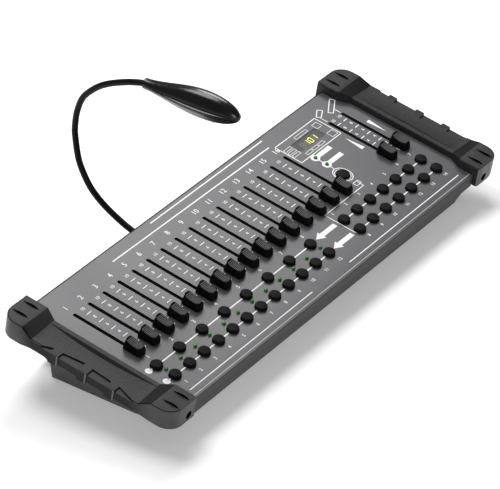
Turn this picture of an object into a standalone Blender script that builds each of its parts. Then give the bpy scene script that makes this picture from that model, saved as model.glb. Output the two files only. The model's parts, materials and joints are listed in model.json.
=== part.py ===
"""Desk-top lighting controller: a sloping sheet-metal panel with slide faders and push
buttons, held between two plastic end cheeks, with a gooseneck lamp on the rear wall.

Metres, +Z up, +X to the operator's right, +Y to the rear, standing on Z = 0. Pieces on the
slope are children of an empty whose local X, Y and Z run across the panel, up its slope
and out of its face, with the rear ends of the fader slots at local Y = 0."""

import math

import bmesh
import bpy
from mathutils import Matrix, Vector

MM = 0.001

# Slope of the panel and where its frame stands
PANEL_TILT = math.radians(9.5)
PANEL_Y = 14.357 * MM
PANEL_Z = 57.6 * MM

# Half the width of the base tray, which rows of controls, sockets and cheeks follow
TRAY_HALF = 212.4 * MM

# Fits
GAP = 0.3 * MM
SLIDE_GAP = 0.4 * MM
CUT_OVER = 2.0 * MM

# Face panel
PANEL_SHEET = 1.5 * MM
PANEL_FRONT = -141.0 * MM
PANEL_REAR = 33.2 * MM
LIP_DEPTH = 12.5 * MM

# Faders
CHANNEL_FADERS = 16
FADER_MARGIN = 10.8 * MM
CHANNEL_MARGIN = 100.5 * MM
FADE_MARGIN = 6.2 * MM
PITCH = (2 * TRAY_HALF - FADER_MARGIN - CHANNEL_MARGIN) / (CHANNEL_FADERS - 1)
FADER_X = FADER_MARGIN - TRAY_HALF
SPEED_FADER_X = TRAY_HALF - FADE_MARGIN - PITCH
FADER_REST = -66.7 * MM
FADER_TRAVEL = 60.0 * MM
SLOT_WIDTH = 3.2 * MM
SLOT_MARGIN = 4.2 * MM
CAP_WIDTH = 9.8 * MM
CAP_LENGTH = 17.8 * MM
CAP_LIFT = 0.8 * MM
CAP_CORNER = 3.2 * MM
CAP_TIP = 10.4 * MM
CAP_LIP = 1.1 * MM
CAP_DIP = 8.0 * MM
CAP_NOSE = 7.8 * MM
LEVER_WIDTH = 1.6 * MM
LEVER_LENGTH = 5.0 * MM
LEVER_DEPTH = 7.0 * MM
POT_WIDTH = 9.0 * MM
POT_OVERRUN = 8.0 * MM
POT_DEPTH = 7.6 * MM

# Buttons
KEY_RADIUS = 5.6 * MM
KEY_HEIGHT = 3.4 * MM
KEY_EDGE = 0.5 * MM
KEY_FLANGE = 0.8 * MM
KEY_FLANGE_THICK = 1.4 * MM
KEY_STEM_RADIUS = 2.0 * MM
KEY_STEM = 2.2 * MM
KEY_TRAVEL = 1.2 * MM
KEY_SEGMENTS = 16
SCENE_KEYS = 8
SCENE_MARGIN = 8.4 * MM
SCENE_ROW_CUT = 1.0 * MM
SCENE_ROW = -92.7 * MM
SCANNER_KEYS = 12
SCANNER_MARGIN = 10.1 * MM
SCANNER_ROW = -111.5 * MM
FUNCTION_KEYS = 7
FUNCTION_MARGIN = 10.9 * MM
FUNCTION_UPPER_ROW = -94.1 * MM
FUNCTION_LOWER_ROW = -111.9 * MM
FUNCTION_WEB_WIDTH = 7.0 * MM
PAGE_KEY_MARGIN = 82.7 * MM
PAGE_KEY_ROW = -55.3 * MM

# Indicator lamps
LED_RADIUS = 1.5 * MM
LED_PROUD = 1.3 * MM
LED_ROW = -101.2 * MM
PAGE_LED_MARGIN = 80.4 * MM
PAGE_LED_ROWS = (-22.4 * MM, -35.5 * MM)

# Display
WINDOW_MARGIN = 44.2 * MM
WINDOW_WIDTH = 38.4 * MM
WINDOW_V = (-8.2 * MM, 4.6 * MM)
WINDOW_FLANGE = 2.4 * MM
WINDOW_THICK = 1.6 * MM
DISPLAY_MARGIN = 1.6 * MM

# Circuit boards
BOARD_THICK = 1.6 * MM
BOARD_EDGE = 0.7 * MM
BOARD_SPLIT = -84.0 * MM
FADER_BOARD_REAR = 14.0 * MM
KEY_BOARD_FRONT = -127.0 * MM
SWITCH_SIDE = 6.0 * MM
POST_RADIUS = 2.5 * MM
POST_ROW = -122.5 * MM
POST_MARGIN = 17.4 * MM
POSTS = 4

# Base tray
TRAY_SHEET = 1.2 * MM
TRAY_LIFT = 1.0 * MM
TRAY_KNEE = -15.2 * MM
TRAY_FOOT_FRONT = -132.2 * MM
TRAY_HEEL_RUN = 17.0 * MM
TRAY_HEEL_RISE = 10.5 * MM

# End cheeks
PANEL_OVERHANG = 6.9 * MM
MID_STEP = 6.0 * MM
BLOCK_WIDTH = 36.3 * MM
MID_BULGE = 2.7 * MM
TOOTH_PROUD = 1.7 * MM
LEDGE_WIDTH = 7.5 * MM
BLOCK_TOP = 9.3 * MM
RIM_TOP = 6.3 * MM
SHOULDER_TOP = 4.1 * MM
LEDGE_TOP = 2.3 * MM
CHEEK_BOTTOM = -11.0 * MM
REST_BOTTOM = -6.8 * MM
CHEEK_FRONT = -147.4 * MM
CHEEK_REAR = 38.2 * MM
FRONT_CORNER = 15.0 * MM
REAR_CORNER = 15.0 * MM
FRONT_RAMP = (-124.2 * MM, -112.7 * MM)
REAR_RAMP = (2.5 * MM, 14.8 * MM)
TOOTH_FRONTS = (-88.6 * MM, -58.8 * MM, -27.9 * MM)
TOOTH_LENGTH = 9.2 * MM
TOOTH_BOTTOM = -6.2 * MM
LEDGE_REACH = 19.0 * MM
FOOT_WIDTH = 10.8 * MM
FOOT_FRONT = -91.0 * MM
FOOT_REAR = -1.7 * MM
CHEEK_WALL = 3.0 * MM

# Cheek screws
SCREW_H = -4.6 * MM
SCREW_HEAD_RADIUS = 2.8 * MM
SCREW_HEAD = 2.4 * MM
SCREW_SHANK_RADIUS = 1.5 * MM
SCREW_SHANK = 12.0 * MM
SCREW_SUNK = 9.0 * MM

# Rear sockets
DMX_MARGIN = 52.4 * MM
MIDI_MARGIN = 104.4 * MM
POWER_MARGIN = 62.4 * MM
SOCKET_Z = 32.0 * MM
DMX_FLANGE = (26.0 * MM, 31.0 * MM)
DMX_BODY_RADIUS = 11.5 * MM
DMX_BORE_RADIUS = 9.0 * MM
MIDI_FLANGE = (22.0 * MM, 26.0 * MM)
MIDI_BODY_RADIUS = 9.8 * MM
MIDI_BORE_RADIUS = 7.6 * MM
FLANGE_THICK = 2.0 * MM
SOCKET_BODY = 20.0 * MM
SOCKET_BORE = 14.0 * MM
ROUND_SEGMENTS = 24

# Power module: mains inlet beside a rocker switch
POWER_FLANGE = (52.0 * MM, 27.0 * MM)
POWER_BODY = (48.0 * MM, 23.0 * MM)
POWER_DEPTH = 24.0 * MM
INLET_X = -9.5 * MM
INLET_SIZE = (24.6 * MM, 16.6 * MM)
INLET_DEPTH = 17.0 * MM
BLADE_SIZE = (2.0 * MM, 4.0 * MM, 12.0 * MM)
BLADE_SPREAD = 7.0 * MM
ROCKER_X = 14.5 * MM
ROCKER_WIDTH = 12.0 * MM
ROCKER_HEIGHT = 17.2 * MM
ROCKER_RISE = 4.2 * MM
ROCKER_DISH = 1.2 * MM
ROCKER_DEPTH = 3.4 * MM
ROCKER_THROW = math.radians(14.0)
ROCKER_WELL = 8.5 * MM
TRUNNION_RADIUS = 1.4 * MM
TRUNNION_REACH = 1.1 * MM

# Gooseneck lamp: its neck lies in one upright plane, along points chosen by hand, each given in
# millimetres behind the panel frame's origin and above the table
LAMP_MARGIN = 162.4 * MM
LAMP_Z = 40.0 * MM
NECK_RADIUS = 3.0 * MM
NECK_SEGMENTS = 12
LOWER_NECK = (
    (43.0, 40.4),
    (52.0, 42.4),
    (65.6, 47.9),
    (83.9, 58.1),
    (97.7, 70.0),
    (106.5, 83.9),
    (112.0, 98.9),
)
NECK_PIVOT = (114.8, 121.6)
UPPER_NECK = (
    (114.4, 132.0),
    (112.1, 145.4),
    (107.0, 159.6),
    (100.2, 169.4),
    (86.9, 181.4),
    (73.4, 189.6),
    (57.0, 196.6),
)
RUN_IN = ((11.0, 2.4), (2.0, 0.1))
NECK_BALL = 3.4 * MM
PLUG_RADIUS = 4.0 * MM
PLUG_FIT = 0.25 * MM
PLUG_LENGTH = 9.0 * MM
COLLAR_RADIUS = 5.2 * MM
LAMP_FLANGE_RADIUS = 8.0 * MM
LAMP_BODY_RADIUS = 7.0 * MM
LAMP_BODY = 13.0 * MM
HEAD_BACK = 34.8 * MM
HEAD_LENGTH = 102.6 * MM
HEAD_Z = 203.0 * MM
HEAD_RISE = 1.6 * MM
HEAD_HALF_WIDTH = 12.8 * MM
HEAD_CROWN = 14.0 * MM
HEAD_BELLY = 12.2 * MM
HEAD_NECK_RADIUS = 5.0 * MM
HEAD_WIDEST = 0.62
HEAD_RINGS = 12
NECK_INSERT = 6.0 * MM
LENS_SIZE = (11.0 * MM, 30.0 * MM, 2.2 * MM)
LENS_SUNK = 2.4 * MM

# Values worked out from the sizes above
SLOT_REAR = FADER_REST + FADER_TRAVEL + LEVER_LENGTH / 2 + SLOT_MARGIN
SLOT_FRONT = FADER_REST - LEVER_LENGTH / 2 - SLOT_MARGIN
POT_TOP = -PANEL_SHEET - GAP
BOARD_TOP = POT_TOP - POT_DEPTH
KEY_FLANGE_TOP = -PANEL_SHEET - GAP
KEY_BOTTOM = KEY_FLANGE_TOP - KEY_FLANGE_THICK - KEY_STEM
SWITCH_TOP = KEY_BOTTOM - KEY_TRAVEL - GAP
SCENE_X = SCENE_MARGIN - TRAY_HALF
SCENE_PITCH = (PITCH * (SCANNER_KEYS - 1) - SCENE_ROW_CUT) / (SCENE_KEYS - 1)
SCANNER_X = SCANNER_MARGIN - TRAY_HALF
FUNCTION_X = TRAY_HALF - FUNCTION_MARGIN - PITCH * (FUNCTION_KEYS - 1)
WINDOW_X = (TRAY_HALF - WINDOW_MARGIN - WINDOW_WIDTH, TRAY_HALF - WINDOW_MARGIN)
POST_SPACING = 2 * (TRAY_HALF - POST_MARGIN) / (POSTS - 1)
CENTRE_FADERS = [FADER_X + PITCH * i for i in range(CHANNEL_FADERS)]
ALL_FADERS = [*CENTRE_FADERS, SPEED_FADER_X, SPEED_FADER_X + PITCH]
SCENE_CENTRES = [(SCENE_X + SCENE_PITCH * i, SCENE_ROW) for i in range(SCENE_KEYS)]
SCANNER_CENTRES = [(SCANNER_X + PITCH * i, SCANNER_ROW) for i in range(SCANNER_KEYS)]
UPPER_CENTRES = [(FUNCTION_X + PITCH * i, FUNCTION_UPPER_ROW) for i in range(FUNCTION_KEYS)]
LOWER_CENTRES = [(FUNCTION_X + PITCH * i, FUNCTION_LOWER_ROW) for i in range(FUNCTION_KEYS)]
PAGE_CENTRE = (TRAY_HALF - PAGE_KEY_MARGIN, PAGE_KEY_ROW)
KEY_ROWS = [*SCENE_CENTRES, *SCANNER_CENTRES, *UPPER_CENTRES, *LOWER_CENTRES]
LED_CENTRES = [(FADER_X + PITCH * i, LED_ROW) for i in range(SCANNER_KEYS)]
PAGE_LED_CENTRES = [(TRAY_HALF - PAGE_LED_MARGIN, row) for row in PAGE_LED_ROWS]
DMX_X = DMX_MARGIN - TRAY_HALF
MIDI_X = MIDI_MARGIN - TRAY_HALF
POWER_X = TRAY_HALF - POWER_MARGIN
LAMP_X = LAMP_MARGIN - TRAY_HALF
BLOCK_INNER = TRAY_HALF + PANEL_OVERHANG
MID_INNER = BLOCK_INNER + MID_STEP
BLOCK_OUTER = BLOCK_INNER + BLOCK_WIDTH
MID_OUTER = BLOCK_OUTER + MID_BULGE
TOOTH_OUTER = MID_OUTER + TOOTH_PROUD
LEDGE_INNER = MID_OUTER - LEDGE_WIDTH
SCREW_WELL = SCREW_HEAD_RADIUS + SLIDE_GAP
FRONT_ROUND = min(FRONT_CORNER, BLOCK_OUTER - BLOCK_INNER - 2 * SCREW_WELL - CHEEK_WALL / 2)
REAR_ROUND = min(REAR_CORNER, BLOCK_OUTER - BLOCK_INNER - CHEEK_WALL)
SCREW_X = (BLOCK_INNER + BLOCK_OUTER - FRONT_ROUND) / 2
FOOT_INNER = TRAY_HALF + GAP
FOOT_OUTER = FOOT_INNER + FOOT_WIDTH
HEAD_REAR = PANEL_Y + HEAD_BACK

# Colours (linear RGB), roughness and metallic of each finish
PANEL_GREY = (0.22, 0.21, 0.22, 1.0), 0.45, 0.0
TRAY_GREY = (0.10, 0.10, 0.105, 1.0), 0.5, 0.0
CHEEK_GREY = (0.042, 0.042, 0.044, 1.0), 0.6, 0.0
KNOB_BLACK = (0.012, 0.012, 0.013, 1.0), 0.4, 0.0
KEY_BLACK = (0.020, 0.020, 0.021, 1.0), 0.55, 0.0
BOARD_GREEN = (0.02, 0.12, 0.05, 1.0), 0.5, 0.0
SOCKET_BLACK = (0.015, 0.015, 0.016, 1.0), 0.45, 0.0
STEEL = (0.50, 0.50, 0.50, 1.0), 0.3, 1.0
LAMP_BLACK = (0.010, 0.010, 0.011, 1.0), 0.3, 0.0
WINDOW_SMOKE = (0.03, 0.03, 0.035, 1.0), 0.1, 0.0
LENS_CLEAR = (0.80, 0.82, 0.85, 1.0), 0.2, 0.0


# Helpers for points and shapes
def slope_to_room(v, h):
    """Room Y and Z of a point v up the slope and h out of the panel's face."""
    y = PANEL_Y + v * math.cos(PANEL_TILT) - h * math.sin(PANEL_TILT)
    z = PANEL_Z + v * math.sin(PANEL_TILT) + h * math.cos(PANEL_TILT)
    return y, z


def table_height(v):
    """Height over the panel's face, negative here, of the table top under v."""
    return -(PANEL_Z + v * math.sin(PANEL_TILT)) / math.cos(PANEL_TILT)


def add_box(bm, low, high):
    size = Vector(high) - Vector(low)
    centre = (Vector(high) + Vector(low)) / 2
    place = Matrix.Translation(centre) @ Matrix.Diagonal((*size, 1.0))
    bmesh.ops.create_cube(bm, size=1.0, matrix=place)


def add_rod(bm, radius, start, end, segments=ROUND_SEGMENTS):
    """A cylinder between two points."""
    start, end = Vector(start), Vector(end)
    turn = (end - start).to_track_quat("Z", "Y").to_matrix().to_4x4()
    place = Matrix.Translation((start + end) / 2) @ turn
    bmesh.ops.create_cone(
        bm,
        cap_ends=True,
        segments=segments,
        radius1=radius,
        radius2=radius,
        depth=(end - start).length,
        matrix=place,
    )


def add_prism(bm, outline, low_x, high_x):
    """An outline of (Y, Z) points swept along X."""
    face = bm.faces.new([bm.verts.new((low_x, y, z)) for y, z in outline])
    swept = bmesh.ops.extrude_face_region(bm, geom=[face])["geom"]
    corners = [item for item in swept if isinstance(item, bmesh.types.BMVert)]
    bmesh.ops.translate(bm, verts=corners, vec=(high_x - low_x, 0.0, 0.0))


def add_plate(bm, outline, low_z, high_z):
    """An outline of (X, Y) points swept along Z."""
    face = bm.faces.new([bm.verts.new((x, y, low_z)) for x, y in outline])
    swept = bmesh.ops.extrude_face_region(bm, geom=[face])["geom"]
    corners = [item for item in swept if isinstance(item, bmesh.types.BMVert)]
    bmesh.ops.translate(bm, verts=corners, vec=(0.0, 0.0, high_z - low_z))


def add_turned(bm, profile, x, y, segments):
    """A profile of (radius, height) points, starting and ending on the axis, turned about Z."""
    points = [bm.verts.new((x + radius, y, height)) for radius, height in profile]
    edges = [bm.edges.new(pair) for pair in zip(points, points[1:])]
    bmesh.ops.spin(
        bm,
        geom=[*points, *edges],
        cent=(x, y, 0.0),
        axis=(0.0, 0.0, 1.0),
        angle=2 * math.pi,
        steps=segments,
        use_merge=True,
    )
    bmesh.ops.remove_doubles(bm, verts=bm.verts, dist=1e-7)


def add_loft(bm, rings):
    """Rings of equal point count joined in order, with both ends filled."""
    rows = [[bm.verts.new(point) for point in ring] for ring in rings]
    count = len(rows[0])
    for first, second in zip(rows, rows[1:]):
        for i in range(count):
            j = (i + 1) % count
            bm.faces.new((first[i], first[j], second[j], second[i]))
    bm.faces.new(rows[0])
    bm.faces.new(reversed(rows[-1]))


def add_hull(bm, points):
    verts = [bm.verts.new(point) for point in points]
    bmesh.ops.convex_hull(bm, input=verts)


def arc(centre, radii, first, last, steps):
    """Points on an elliptic arc in a plane, angles in degrees, both ends included."""
    points = []
    for i in range(steps + 1):
        angle = math.radians(first + (last - first) * i / steps)
        points.append((centre[0] + radii[0] * math.cos(angle), centre[1] + radii[1] * math.sin(angle)))
    return points


def finish(name, look):
    colour, roughness, metallic = look
    material = bpy.data.materials.new(name)
    material.use_nodes = True
    shader = material.node_tree.nodes["Principled BSDF"]
    shader.inputs["Base Color"].default_value = colour
    shader.inputs["Roughness"].default_value = roughness
    shader.inputs["Metallic"].default_value = metallic
    return material


def make(name, bm, look, parent=None, place=(0.0, 0.0, 0.0)):
    """A named object with its own finish from a bmesh built about its origin."""
    bmesh.ops.recalc_face_normals(bm, faces=bm.faces)
    mesh = bpy.data.meshes.new(name)
    bm.to_mesh(mesh)
    bm.free()
    piece = bpy.data.objects.new(name, mesh)
    bpy.context.scene.collection.objects.link(piece)
    piece.parent = parent
    piece.location = place
    mesh.materials.append(finish(name, look))
    return piece


def combine(piece, operation, name, bm):
    """Joins a hidden helper solid to a piece, or cuts it away, in the piece's own frame."""
    bmesh.ops.recalc_face_normals(bm, faces=bm.faces)
    mesh = bpy.data.meshes.new(name)
    bm.to_mesh(mesh)
    bm.free()
    helper = bpy.data.objects.new(name, mesh)
    bpy.context.scene.collection.objects.link(helper)
    helper.parent = piece.parent
    helper.location = piece.location
    helper.hide_render = True
    helper.display_type = "WIRE"
    modifier = piece.modifiers.new(name, "BOOLEAN")
    modifier.operation = operation
    modifier.solver = "EXACT"
    modifier.object = helper


# Pieces on the slope
def face_panel(frame):
    outline = [
        (BLOCK_INNER - GAP, PANEL_FRONT),
        (BLOCK_INNER - GAP, FRONT_RAMP[0]),
        (MID_INNER - GAP, FRONT_RAMP[1]),
        (MID_INNER - GAP, REAR_RAMP[0]),
        (BLOCK_INNER - GAP, REAR_RAMP[1]),
        (BLOCK_INNER - GAP, PANEL_REAR),
    ]
    outline += [(-x, v) for x, v in reversed(outline)]
    bm = bmesh.new()
    add_plate(bm, outline, -PANEL_SHEET, 0.0)
    panel = make("face_panel", bm, PANEL_GREY, frame)

    lip = bmesh.new()
    add_box(
        lip,
        (-BLOCK_INNER + GAP, PANEL_FRONT, -LIP_DEPTH),
        (BLOCK_INNER - GAP, PANEL_FRONT + PANEL_SHEET, -PANEL_SHEET / 2),
    )
    combine(panel, "UNION", "panel_lip", lip)

    holes = bmesh.new()
    for x in ALL_FADERS:
        add_box(
            holes,
            (x - SLOT_WIDTH / 2, SLOT_FRONT, -PANEL_SHEET - CUT_OVER),
            (x + SLOT_WIDTH / 2, SLOT_REAR, CUT_OVER),
        )
    for x, v in [*KEY_ROWS, PAGE_CENTRE]:
        add_rod(
            holes,
            KEY_RADIUS + SLIDE_GAP,
            (x, v, -PANEL_SHEET - CUT_OVER),
            (x, v, CUT_OVER),
            KEY_SEGMENTS,
        )
    for x, v in [*LED_CENTRES, *PAGE_LED_CENTRES]:
        add_rod(
            holes,
            LED_RADIUS + GAP,
            (x, v, -PANEL_SHEET - CUT_OVER),
            (x, v, CUT_OVER),
            KEY_SEGMENTS // 2,
        )
    add_box(
        holes,
        (WINDOW_X[0], WINDOW_V[0], -PANEL_SHEET - CUT_OVER),
        (WINDOW_X[1], WINDOW_V[1], CUT_OVER),
    )
    combine(panel, "DIFFERENCE", "panel_holes", holes)


def cap_plan():
    """Outline of a cap seen from over the panel, with rounded corners."""
    half_x, half_v = CAP_WIDTH / 2, CAP_LENGTH / 2
    radius = min(CAP_CORNER, half_x - LEVER_WIDTH / 4)
    corners = (
        (half_x - radius, radius - half_v, -90),
        (half_x - radius, half_v - radius, 0),
        (radius - half_x, half_v - radius, 90),
        (radius - half_x, radius - half_v, 180),
    )
    points = []
    for x, v, first in corners:
        points += arc((x, v), (radius, radius), first, first + 90, 3)
    return points


def fader(name, x, frame):
    """Finger cap, rounded in plan, with a rear lip and a dished top, on a flat lever."""
    half = CAP_LENGTH / 2
    bm = bmesh.new()
    add_plate(bm, cap_plan(), CAP_LIFT, CAP_TIP + GAP)
    cap = make(name, bm, KNOB_BLACK, frame, (x, FADER_REST, 0.0))
    above = bmesh.new()
    outline = [
        (half + CUT_OVER, CAP_TIP),
        (half - CAP_LIP, CAP_TIP),
        (half - 2 * CAP_LIP, (CAP_TIP + CAP_DIP) / 2),
        (half - 4 * CAP_LIP, CAP_DIP),
        (-half - CUT_OVER, CAP_NOSE),
        (-half - CUT_OVER, CAP_TIP + CUT_OVER),
        (half + CUT_OVER, CAP_TIP + CUT_OVER),
    ]
    add_prism(above, outline, -CAP_WIDTH, CAP_WIDTH)
    combine(cap, "DIFFERENCE", name + "_top", above)
    lever = bmesh.new()
    add_box(
        lever,
        (-LEVER_WIDTH / 2, -LEVER_LENGTH / 2, -LEVER_DEPTH),
        (LEVER_WIDTH / 2, LEVER_LENGTH / 2, CAP_DIP / 2),
    )
    combine(cap, "UNION", name + "_lever", lever)


def key_profile():
    return [
        (0.0, KEY_BOTTOM),
        (KEY_STEM_RADIUS, KEY_BOTTOM),
        (KEY_STEM_RADIUS, KEY_BOTTOM + KEY_STEM),
        (KEY_RADIUS + KEY_FLANGE, KEY_BOTTOM + KEY_STEM),
        (KEY_RADIUS + KEY_FLANGE, KEY_FLANGE_TOP),
        (KEY_RADIUS, KEY_FLANGE_TOP),
        (KEY_RADIUS, KEY_HEIGHT - KEY_EDGE),
        (KEY_RADIUS - KEY_EDGE, KEY_HEIGHT),
        (0.0, KEY_HEIGHT),
    ]


def key(name, centre, frame):
    bm = bmesh.new()
    add_turned(bm, key_profile(), 0.0, 0.0, KEY_SEGMENTS)
    make(name, bm, KEY_BLACK, frame, (*centre, 0.0))


def key_strip(name, centres, frame):
    """A row of keys moulded on one web that runs under the panel."""
    middle = sum(x for x, v in centres) / len(centres)
    row = centres[0][1]
    reach = max(x for x, v in centres) - middle
    web_top = KEY_FLANGE_TOP - GAP
    web = bmesh.new()
    add_box(
        web,
        (-reach, -FUNCTION_WEB_WIDTH / 2, KEY_BOTTOM + KEY_STEM + GAP),
        (reach, FUNCTION_WEB_WIDTH / 2, web_top),
    )
    strip = make(name, web, KEY_BLACK, frame, (middle, row, 0.0))
    domes = bmesh.new()
    for x, v in centres:
        add_turned(domes, key_profile(), x - middle, 0.0, KEY_SEGMENTS)
    combine(strip, "UNION", name + "_domes", domes)


def fader_board(frame):
    """Circuit board with the slide potentiometers and the page switch soldered on."""
    edge = TRAY_HALF - TRAY_SHEET - BOARD_EDGE
    bm = bmesh.new()
    add_box(
        bm,
        (-edge, BOARD_SPLIT + BOARD_EDGE, BOARD_TOP - BOARD_THICK),
        (edge, FADER_BOARD_REAR, BOARD_TOP),
    )
    board = make("fader_board", bm, BOARD_GREEN, frame)
    pots = bmesh.new()
    for x in ALL_FADERS:
        add_box(
            pots,
            (x - POT_WIDTH / 2, SLOT_FRONT - POT_OVERRUN, BOARD_TOP - BOARD_THICK / 2),
            (x + POT_WIDTH / 2, SLOT_REAR + POT_OVERRUN, POT_TOP),
        )
    half = SWITCH_SIDE / 2
    x, v = PAGE_CENTRE
    add_box(
        pots,
        (x - half, v - half, BOARD_TOP - BOARD_THICK / 2),
        (x + half, v + half, SWITCH_TOP),
    )
    for x, v in PAGE_LED_CENTRES:
        add_rod(
            pots,
            LED_RADIUS,
            (x, v, BOARD_TOP - BOARD_THICK / 2),
            (x, v, LED_PROUD),
            KEY_SEGMENTS // 2,
        )
    combine(board, "UNION", "board_pots", pots)
    tracks = bmesh.new()
    for x in ALL_FADERS:
        add_box(
            tracks,
            (x - SLOT_WIDTH / 2, SLOT_FRONT, -LEVER_DEPTH - SLIDE_GAP),
            (x + SLOT_WIDTH / 2, SLOT_REAR, POT_TOP + CUT_OVER),
        )
    combine(board, "DIFFERENCE", "board_tracks", tracks)


def key_board(frame):
    """Circuit board with a switch under each button, the indicators and four posts."""
    edge = TRAY_HALF - TRAY_SHEET - BOARD_EDGE
    bm = bmesh.new()
    add_box(
        bm,
        (-edge, KEY_BOARD_FRONT, BOARD_TOP - BOARD_THICK),
        (edge, BOARD_SPLIT - BOARD_EDGE, BOARD_TOP),
    )
    board = make("key_board", bm, BOARD_GREEN, frame)
    low = BOARD_TOP - BOARD_THICK / 2
    half = SWITCH_SIDE / 2
    parts = bmesh.new()
    for x, v in KEY_ROWS:
        add_box(parts, (x - half, v - half, low), (x + half, v + half, SWITCH_TOP))
    for x, v in LED_CENTRES:
        add_rod(parts, LED_RADIUS, (x, v, low), (x, v, LED_PROUD), KEY_SEGMENTS // 2)
    for i in range(POSTS):
        x = POST_SPACING * i + POST_MARGIN - TRAY_HALF
        add_rod(parts, POST_RADIUS, (x, POST_ROW, low), (x, POST_ROW, POT_TOP), KEY_SEGMENTS // 2)
    combine(board, "UNION", "board_switches", parts)


def display(frame):
    """Numeric display module on the fader board and the smoked window over it."""
    low = BOARD_TOP + GAP
    high = POT_TOP - WINDOW_THICK - GAP
    bm = bmesh.new()
    add_box(
        bm,
        (WINDOW_X[0] - DISPLAY_MARGIN, WINDOW_V[0] - DISPLAY_MARGIN, low),
        (WINDOW_X[1] + DISPLAY_MARGIN, WINDOW_V[1] + DISPLAY_MARGIN, high),
    )
    make("display_module", bm, SOCKET_BLACK, frame)

    bm = bmesh.new()
    add_box(
        bm,
        (WINDOW_X[0] - WINDOW_FLANGE, WINDOW_V[0] - WINDOW_FLANGE, POT_TOP - WINDOW_THICK),
        (WINDOW_X[1] + WINDOW_FLANGE, WINDOW_V[1] + WINDOW_FLANGE, POT_TOP),
    )
    window = make("display_window", bm, WINDOW_SMOKE, frame)
    pane = bmesh.new()
    add_box(
        pane,
        (WINDOW_X[0] + GAP, WINDOW_V[0] + GAP, POT_TOP - WINDOW_THICK / 2),
        (WINDOW_X[1] - GAP, WINDOW_V[1] - GAP, -GAP),
    )
    combine(window, "UNION", "window_pane", pane)


# End cheeks
def cheek_stations():
    """(v, inner X, outer X, inner top, outer top, outer bottom) along the cheek, front to rear."""
    stations = []
    front = arc(
        (BLOCK_OUTER - FRONT_ROUND, CHEEK_FRONT + FRONT_ROUND),
        (FRONT_ROUND, FRONT_ROUND),
        -90,
        0,
        5,
    )
    for x, v in front:
        stations.append((v, BLOCK_INNER, x, BLOCK_TOP, BLOCK_TOP, CHEEK_BOTTOM))
    block = (BLOCK_INNER, BLOCK_OUTER, BLOCK_TOP, BLOCK_TOP, CHEEK_BOTTOM)
    rest = (MID_INNER, MID_OUTER, RIM_TOP, SHOULDER_TOP, REST_BOTTOM)
    stations.append((FRONT_RAMP[0], *block))
    stations.append((FRONT_RAMP[1], *rest))
    stations.append((REAR_RAMP[0], *rest))
    stations.append((REAR_RAMP[1], *block))
    rear = arc(
        (BLOCK_OUTER - REAR_ROUND, CHEEK_REAR - REAR_ROUND),
        (REAR_ROUND, REAR_ROUND),
        0,
        90,
        6,
    )
    for x, v in rear:
        stations.append((v, BLOCK_INNER, x, BLOCK_TOP, BLOCK_TOP, CHEEK_BOTTOM))
    return stations


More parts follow.
